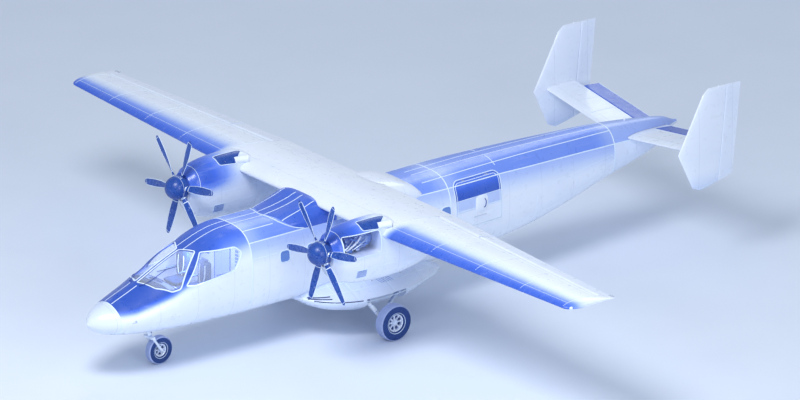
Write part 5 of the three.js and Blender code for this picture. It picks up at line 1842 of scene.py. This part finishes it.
def cone_shell():
    """A hollow cone that turns solid near its tip."""
    start, end, solid = TAIL_CONE_START + 0.0005, 18.0, 17.62
    outer_places = [start, start + SEAM_GAP, *stations(start + 0.03, end, 0.06, FUSELAGE)]
    outer = [body_ring(FUSELAGE, s, CONE_SIDES, -SEAM_GAP if s == start else 0.0) for s in outer_places]
    inner = [body_ring(FUSELAGE, s, CONE_SIDES, -TAIL_SKIN) for s in reversed(stations(start, solid, 0.15))]
    rings = outer + inner
    split = len(outer)
    faces = grid_faces(split, CONE_SIDES) + grid_faces(len(inner), CONE_SIDES, start=split * CONE_SIDES)
    faces.append(tuple(range((split - 1) * CONE_SIDES, split * CONE_SIDES)))
    faces.append(tuple(range(split * CONE_SIDES, (split + 1) * CONE_SIDES))[::-1])
    faces += closing_faces(len(rings), CONE_SIDES)
    return make_object("tail_cone_fine", [p for ring in rings for p in ring], faces, SKIN_PAINT)


def tail_details(name, side):
    lines = Builder()
    for face in (1, -1):
        for distance in (0.55, 1.2, 1.85, 2.5):
            section = stabiliser_section(side, distance)
            points = [section.point(0.02 + 0.6 * i / 14, face) for i in range(15)]
            ribbon(lines, points, [section.up * face] * len(points), 0.010, 0.003, SEAM)
        for fraction in (0.12, 0.6):
            points = [stabiliser_section(side, d).point(fraction, face) for d in spread([0.45, 2.7], 0.25)]
            ribbon(lines, points, [section.up * face] * len(points), 0.008, 0.003, SEAM)
        for t in (0.1, 0.45, 0.8):
            sections = fin_sections(side)
            section = sections[round(t * (len(sections) - 1))]
            points = [section.point(0.02 + (section.cut() - 0.04) * i / 14, face) for i in range(15)]
            ribbon(lines, points, [section.up * face] * len(points), 0.010, 0.003, SEAM)
    lines.build(f"tail_seams_{name}", slot="tail_skin", crease=60)
    edge = Builder()
    spans = spread([STABILISER["root"] + 0.02, STABILISER["end"] - 0.02], 0.2)
    edge.tube([stabiliser_section(side, d).point(0.994, 0) for d in spans], 0.009, SEAM, 8)
    edge.build(f"elevator_edge_{name}", f"elevator_{name}", "elevator_skin", crease=60)
    top = fin_sections(side)[-2]
    extras = Builder()
    beacon = top.point(0.35, 1).lerp(top.point(0.35, -1), 0.5) + Vector((0, 0, 0.012))
    extras.lathe([(0.0, 0.022), (0.006, 0.026), (0.03, 0.02), (0.045, 0.0002)], beacon, (0, 0, 1),
                 LAMP_CLEAR, 24)
    extras.build(f"fin_beacon_{name}", slot="tail_skin", crease=50)


# ---------------------------------------------------------------- cockpit

FLOOR_TOP = 1.44
SEAT = {"side": 0.43, "front": 2.78, "height": 0.43}
PANEL = {"rear": 2.14, "low": 1.7, "high": 2.18}


def cushion(name, centre, size, lean, seams):
    """A stuffed pad: a box cage crowned in the middle, pulled in along its seams and subdivided smooth."""
    shape = bmesh.new()
    bmesh.ops.create_cube(shape, size=1.0)
    bmesh.ops.subdivide_edges(shape, edges=shape.edges[:], cuts=13, use_grid_fill=True)
    for v in shape.verts:
        x, y, z = v.co * 2
        rim = max(abs(x), abs(y))
        crown = 1 - 0.55 * rim ** 4
        pinch = 1 - 0.20 * sum(math.exp(-((x - seam) / 0.07) ** 2) for seam in seams)
        round_x = x * (1 - 0.05 * abs(y) ** 4)
        round_y = y * (1 - 0.05 * abs(x) ** 4)
        v.co = Vector((round_x * size[0] / 2, round_y * size[1] / 2, z * size[2] / 2 * crown * pinch))
    bmesh.ops.rotate(shape, cent=(0, 0, 0), matrix=Matrix.Rotation(lean, 3, "X"), verts=shape.verts[:])
    bmesh.ops.translate(shape, vec=centre, verts=shape.verts[:])
    mesh = bpy.data.meshes.new(name)
    shape.to_mesh(mesh)
    shape.free()
    mesh.materials.append(CLOTH)
    mesh.polygons.foreach_set("use_smooth", [True] * len(mesh.polygons))
    item = place_object(name, mesh, "airframe")
    modifier = item.modifiers.new("soft", "SUBSURF")
    modifier.levels = modifier.render_levels = 1
    return item


def make_seat(name, side):
    x, y = side * SEAT["side"], along(SEAT["front"])
    top = FLOOR_TOP + SEAT["height"]
    upright = math.radians(90)
    pad = cushion(f"seat_pad_{name}", (x, y + 0.235, top - 0.05), (0.47, 0.49, 0.13), 0.0, (-0.52, 0.52))
    back = cushion(f"seat_back_{name}", (x, y + 0.425, top + 0.33), (0.46, 0.66, 0.12), upright, (-0.5, 0.5))
    head = cushion(f"headrest_{name}", (x, y + 0.43, top + 0.625), (0.27, 0.15, 0.10), upright, ())
    for item in (pad, back, head):
        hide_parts(f"seat_{name}")
    frame_parts = Builder()
    column = [(0, 0.12), (0.012, 0.12), (0.03, 0.06), (0.24, 0.05), (0.27, 0.09), (0.30, 0.1)]
    frame_parts.lathe(column, (x, y + 0.22, FLOOR_TOP + 0.0005), (0, 0, 1), STEEL, 32)
    frame_parts.box((x - 0.20, y + 0.03, top - 0.135), (x + 0.20, y + 0.45, top - 0.112), NAVY, 0.01)
    frame_parts.box((x - 0.19, y + 0.482, top - 0.10), (x + 0.19, y + 0.496, top + 0.62), NAVY, 0.006)
    for flank in (-1, 1):
        arm = x + flank * 0.245
        frame_parts.tube([(arm, y + 0.46, top + 0.08), (arm, y + 0.44, top + 0.19),
                          (arm, y + 0.36, top + 0.21),
                          (arm, y + 0.12, top + 0.21)], 0.02, MID_BLUE, 14)
        rail = x + flank * 0.13
        frame_parts.box((rail - 0.015, y - 0.02, FLOOR_TOP + 0.0005),
                        (rail + 0.015, y + 0.5, FLOOR_TOP + 0.02), STEEL, 0.004)
        frame_parts.tube([(x + flank * 0.10, y + 0.372, top + 0.55),
                          (x + flank * 0.11, y + 0.355, top + 0.3),
                          (x + flank * 0.06, y + 0.34, top + 0.06)], 0.012, SEAM, 8)
    frame_parts.build(f"seat_frame_{name}", slot="seat", crease=38)


def make_panel():
    """Dash, glareshield, screens, knobs, levers, control wheels and pedals."""
    rear = along(PANEL["rear"])
    board = Builder()
    half, low, high = 0.70, PANEL["low"], PANEL["high"]
    face = rounded([Vector((-half, rear - 0.02, low + 0.04)), Vector((half, rear - 0.02, low + 0.04)),
                    Vector((half, rear - 0.02, high - 0.07)), Vector((0.42, rear - 0.02, high - 0.02)),
                    Vector((-0.42, rear - 0.02, high - 0.02)), Vector((-half, rear - 0.02, high - 0.07))],
                   0.06)
    board.loft([face, [p + Vector((0, 0.012, 0)) for p in face]], MID_BLUE)
    back = [Vector((p.x, along(1.98), p.z)) for p in face]
    board.loft([back, face], PANEL_GREY)
    screens = [(-0.50, 1.98, 0.13, 0.09), (-0.24, 1.98, 0.11, 0.09), (0.0, 1.99, 0.10, 0.10),
               (0.24, 1.98, 0.11, 0.09),
               (0.50, 1.98, 0.13, 0.09)]
    for x, z, w, h in screens:
        board.box((x - w - 0.012, rear - 0.012, z - h - 0.012), (x + w + 0.012, rear + 0.004, z + h + 0.012),
                  NAVY, 0.008)
        board.box((x - w, rear + 0.001, z - h), (x + w, rear + 0.007, z + h), SCREEN, 0.003)
        for i in range(4):
            spot = Vector((x - w * 0.8 + i * w * 0.53, rear + 0.002, z - h - 0.028))
            board.rod(spot, spot + Vector((0, 0.016, 0)), 0.007, SEAM, sides=14)
    for i in range(9):
        spot = Vector((-0.56 + 0.14 * i, rear, 1.80))
        if abs(spot.x) > 0.1:
            board.lathe([(0.0, 0.036), (0.006, 0.036), (0.008, 0.03), (0.004, 0.028), (0.004, 0.0002)], spot,
                        (0, 1, 0), SEAM, 32)
    shield = []
    for i in range(13):
        t = i / 12
        x = -0.66 + 1.32 * t
        dip = 0.05 * abs(2 * t - 1) ** 2.2
        shield.append([Vector((x, rear - 0.30, high - 0.05 - dip)),
                       Vector((x, rear - 0.10, high - 0.012 - dip)),
                       Vector((x, rear + 0.045, high - 0.018 - dip)),
                       Vector((x, rear + 0.05, high - 0.034 - dip)),
                       Vector((x, rear - 0.28, high - 0.075 - dip))])
    board.loft(shield, NAVY)
    console = along(2.68)
    board.box((-0.11, rear - 0.02, FLOOR_TOP + 0.001), (0.11, console, 1.80), PANEL_GREY, 0.02)
    board.box((-0.105, rear + 0.03, 1.80), (0.105, console - 0.02, 1.846), MID_BLUE, 0.012)
    for x, reach in ((-0.07, 0.03), (-0.025, 0.05), (0.025, 0.045), (0.07, 0.02)):
        foot = Vector((x, rear + 0.16, 1.84))
        tip = foot + Vector((0, reach, 0.10))
        board.rod(foot, tip, 0.006, CHROME, sides=12)
        board.lathe([(0, 0.0002), (0.004, 0.013), (0.016, 0.017), (0.03, 0.012), (0.034, 0.0002)], tip,
                    (0, 0, 1), NAVY, 20)
    for i in range(6):
        for x in (-0.06, 0.0, 0.06):
            board.box((x - 0.02, rear + 0.27 + 0.04 * i, 1.844), (x + 0.02, rear + 0.295 + 0.04 * i, 1.853),
                      SEAM, 0.003)
    item = board.build("instrument_panel_fine", slot="panel", crease=36)
    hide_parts("instrument_panel")

    controls = Builder()
    for side in SIDES.values():
        x = side * SEAT["side"]
        hub = Vector((x, rear + 0.20, 1.93))
        controls.rod((x, rear, 1.86), hub, 0.018, CHROME, sides=20)
        controls.box(hub - Vector((0.06, 0.012, 0.022)), hub + Vector((0.06, 0.02, 0.022)), NAVY, 0.01)
        for flank in (-1, 1):
            horn = [hub + Vector((flank * 0.05, 0, 0)), hub + Vector((flank * 0.12, 0.005, 0.005)),
                    hub + Vector((flank * 0.15, 0.01, 0.06)), hub + Vector((flank * 0.135, 0.01, 0.12))]
            controls.tube(horn, 0.014, NAVY, 14)
            pedal = Vector((x + flank * 0.10, along(2.20), 1.56))
            controls.box(pedal - Vector((0.045, 0.006, 0.05)), pedal + Vector((0.045, 0.006, 0.05)), STEEL,
                         0.006)
            controls.rod(pedal - Vector((0, 0.0, 0.11)), pedal - Vector((0, 0, 0.04)), 0.008, CHROME,
                         sides=12)
    controls.build("flight_controls", slot="panel", crease=40)


def make_cabin():
    """Trim on the bulkhead, an overhead panel, mats, and materials for the CAD floors, bulkhead and rack."""
    wall = along(4.08)
    trim = Builder()
    for side in SIDES.values():
        inner, outer = sorted((side * 0.36, side * 0.80))
        for low, high in ((1.52, 2.05), (2.10, 2.72)):
            trim.box((inner, wall - 0.008, low), (outer, wall - 0.0005, high), LINING, 0.006)
        trim.tube([(side * 0.31, wall - 0.012, 1.46), (side * 0.31, wall - 0.012, 2.3),
                   (side * 0.31, wall - 0.012, 2.745)],
                  0.010, MID_BLUE, 10)
        for i in range(5):
            trim.box((side * 0.58 - 0.06, wall - 0.02, 2.2 + 0.09 * i),
                     (side * 0.58 + 0.06, wall - 0.007, 2.265 + 0.09 * i),
                     PANEL_GREY, 0.005)
    trim.box((-0.33, wall - 0.012, 2.748), (0.33, wall + 0.002, 2.775), MID_BLUE, 0.005)
    trim.box((-0.22, along(2.95), 2.80), (0.22, along(3.45), 2.83), PANEL_GREY, 0.01)
    for i in range(5):
        for k in range(4):
            spot = Vector((-0.15 + 0.10 * k, along(3.0) + 0.1 * i, 2.80))
            trim.rod(spot, spot - Vector((0, 0, 0.012)), 0.012, SEAM, sides=12)
    trim.build("cockpit_trim", slot="interior", crease=38)
    mat = Builder()
    mat.box((-0.60, along(2.72), FLOOR_TOP + 0.0003), (0.60, along(4.05), FLOOR_TOP + 0.004), MAT, 0.0015)
    mat.box((-0.62, along(10.4), FLOOR_TOP + 0.0003), (0.62, along(11.95), FLOOR_TOP + 0.004), MAT, 0.0015)
    for i in range(9):
        mat.box((-0.55, along(10.5) + 0.16 * i, FLOOR_TOP + 0.004),
                (0.55, along(10.52) + 0.16 * i, FLOOR_TOP + 0.007),
                STEEL, 0.001)
    mat.build("floor_mats", slot="interior", crease=40)
    for node, material in (("cockpit_floor", MID_BLUE), ("cabin_floor", MID_BLUE),
                           ("cockpit_bulkhead", LINING),
                           ("equipment_rack", CASTING)):
        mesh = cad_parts[node].data
        mesh.materials.clear()
        mesh.materials.append(material)


# ---------------------------------------------------------------- small fittings on the fuselage


def make_fittings():
    parts = Builder()
    for side in SIDES.values():
        root = on_side(FUSELAGE, 0.95, 1.55, side)
        parts.tube([root - Vector((side * 0.01, 0, 0)), root + Vector((side * 0.05, 0, 0)),
                    root + Vector((side * 0.062, -0.03, 0)), root + Vector((side * 0.062, -0.16, 0))], 0.009,
                   CHROME, 14)
        parts.lathe([(0, 0.0002), (0.0, 0.03), (0.006, 0.03), (0.01, 0.026), (0.01, 0.0002)],
                    root - Vector((side * 0.004, 0, 0)),
                    (side, 0, 0), STEEL, 24)
        for station in (1.9, 2.1):
            port = on_side(FUSELAGE, station, 1.5, side)
            parts.lathe([(0, 0.0002), (0.0, 0.022), (0.003, 0.022), (0.005, 0.018), (0.005, 0.0002)],
                        port - Vector((side * 0.002, 0, 0)), (side, 0, 0), CHROME, 24)
    for station in (7.0, 12.4):
        under = Vector((0, along(station), row_at(FUSELAGE, station)[1]))
        parts.lathe([(0.0, 0.035), (0.01, 0.036), (0.03, 0.028), (0.042, 0.0002)], under, (0, 0, -1),
                    LAMP_CLEAR, 24)
    crest = on_roof(FUSELAGE, 16.4, 0.0)
    parts.lathe([(0.0, 0.03), (0.008, 0.032), (0.03, 0.024), (0.04, 0.0002)], crest, (0, 0, 1), LAMP_CLEAR,
                24)
    tip = Vector((0, along(17.985), 2.675))
    parts.lathe([(0.0, 0.02), (0.006, 0.022), (0.016, 0.014), (0.02, 0.0002)], tip, (0, 1, 0), LAMP_CLEAR,
                20)
    parts.build("fuselage_fittings", slot="fuselage_skin", crease=40)


make_fuselage()
skin_lines()
make_windows()
make_glazing()
make_wings()
make_fairing()
make_tail()
for side_name, side in SIDES.items():
    make_nacelle(side_name, side)
    make_propeller(side_name, side)
    make_sponson(side_name, side)
    make_main_leg(side_name, side)
    make_tyre(f"main_tyre_{side_name}", f"main_wheel_{side_name}", MAIN_WHEEL, side)
    make_hub(f"main_wheel_{side_name}", f"main_wheel_{side_name}", MAIN_WHEEL, side, 8)
    make_seat(side_name, side)
make_nose_gear()
make_tyre("nose_tyre", "nose_wheel", NOSE_WHEEL, 1)
make_hub("nose_wheel", "nose_wheel", NOSE_WHEEL, 1, 6)
make_panel()
make_cabin()
make_fittings()
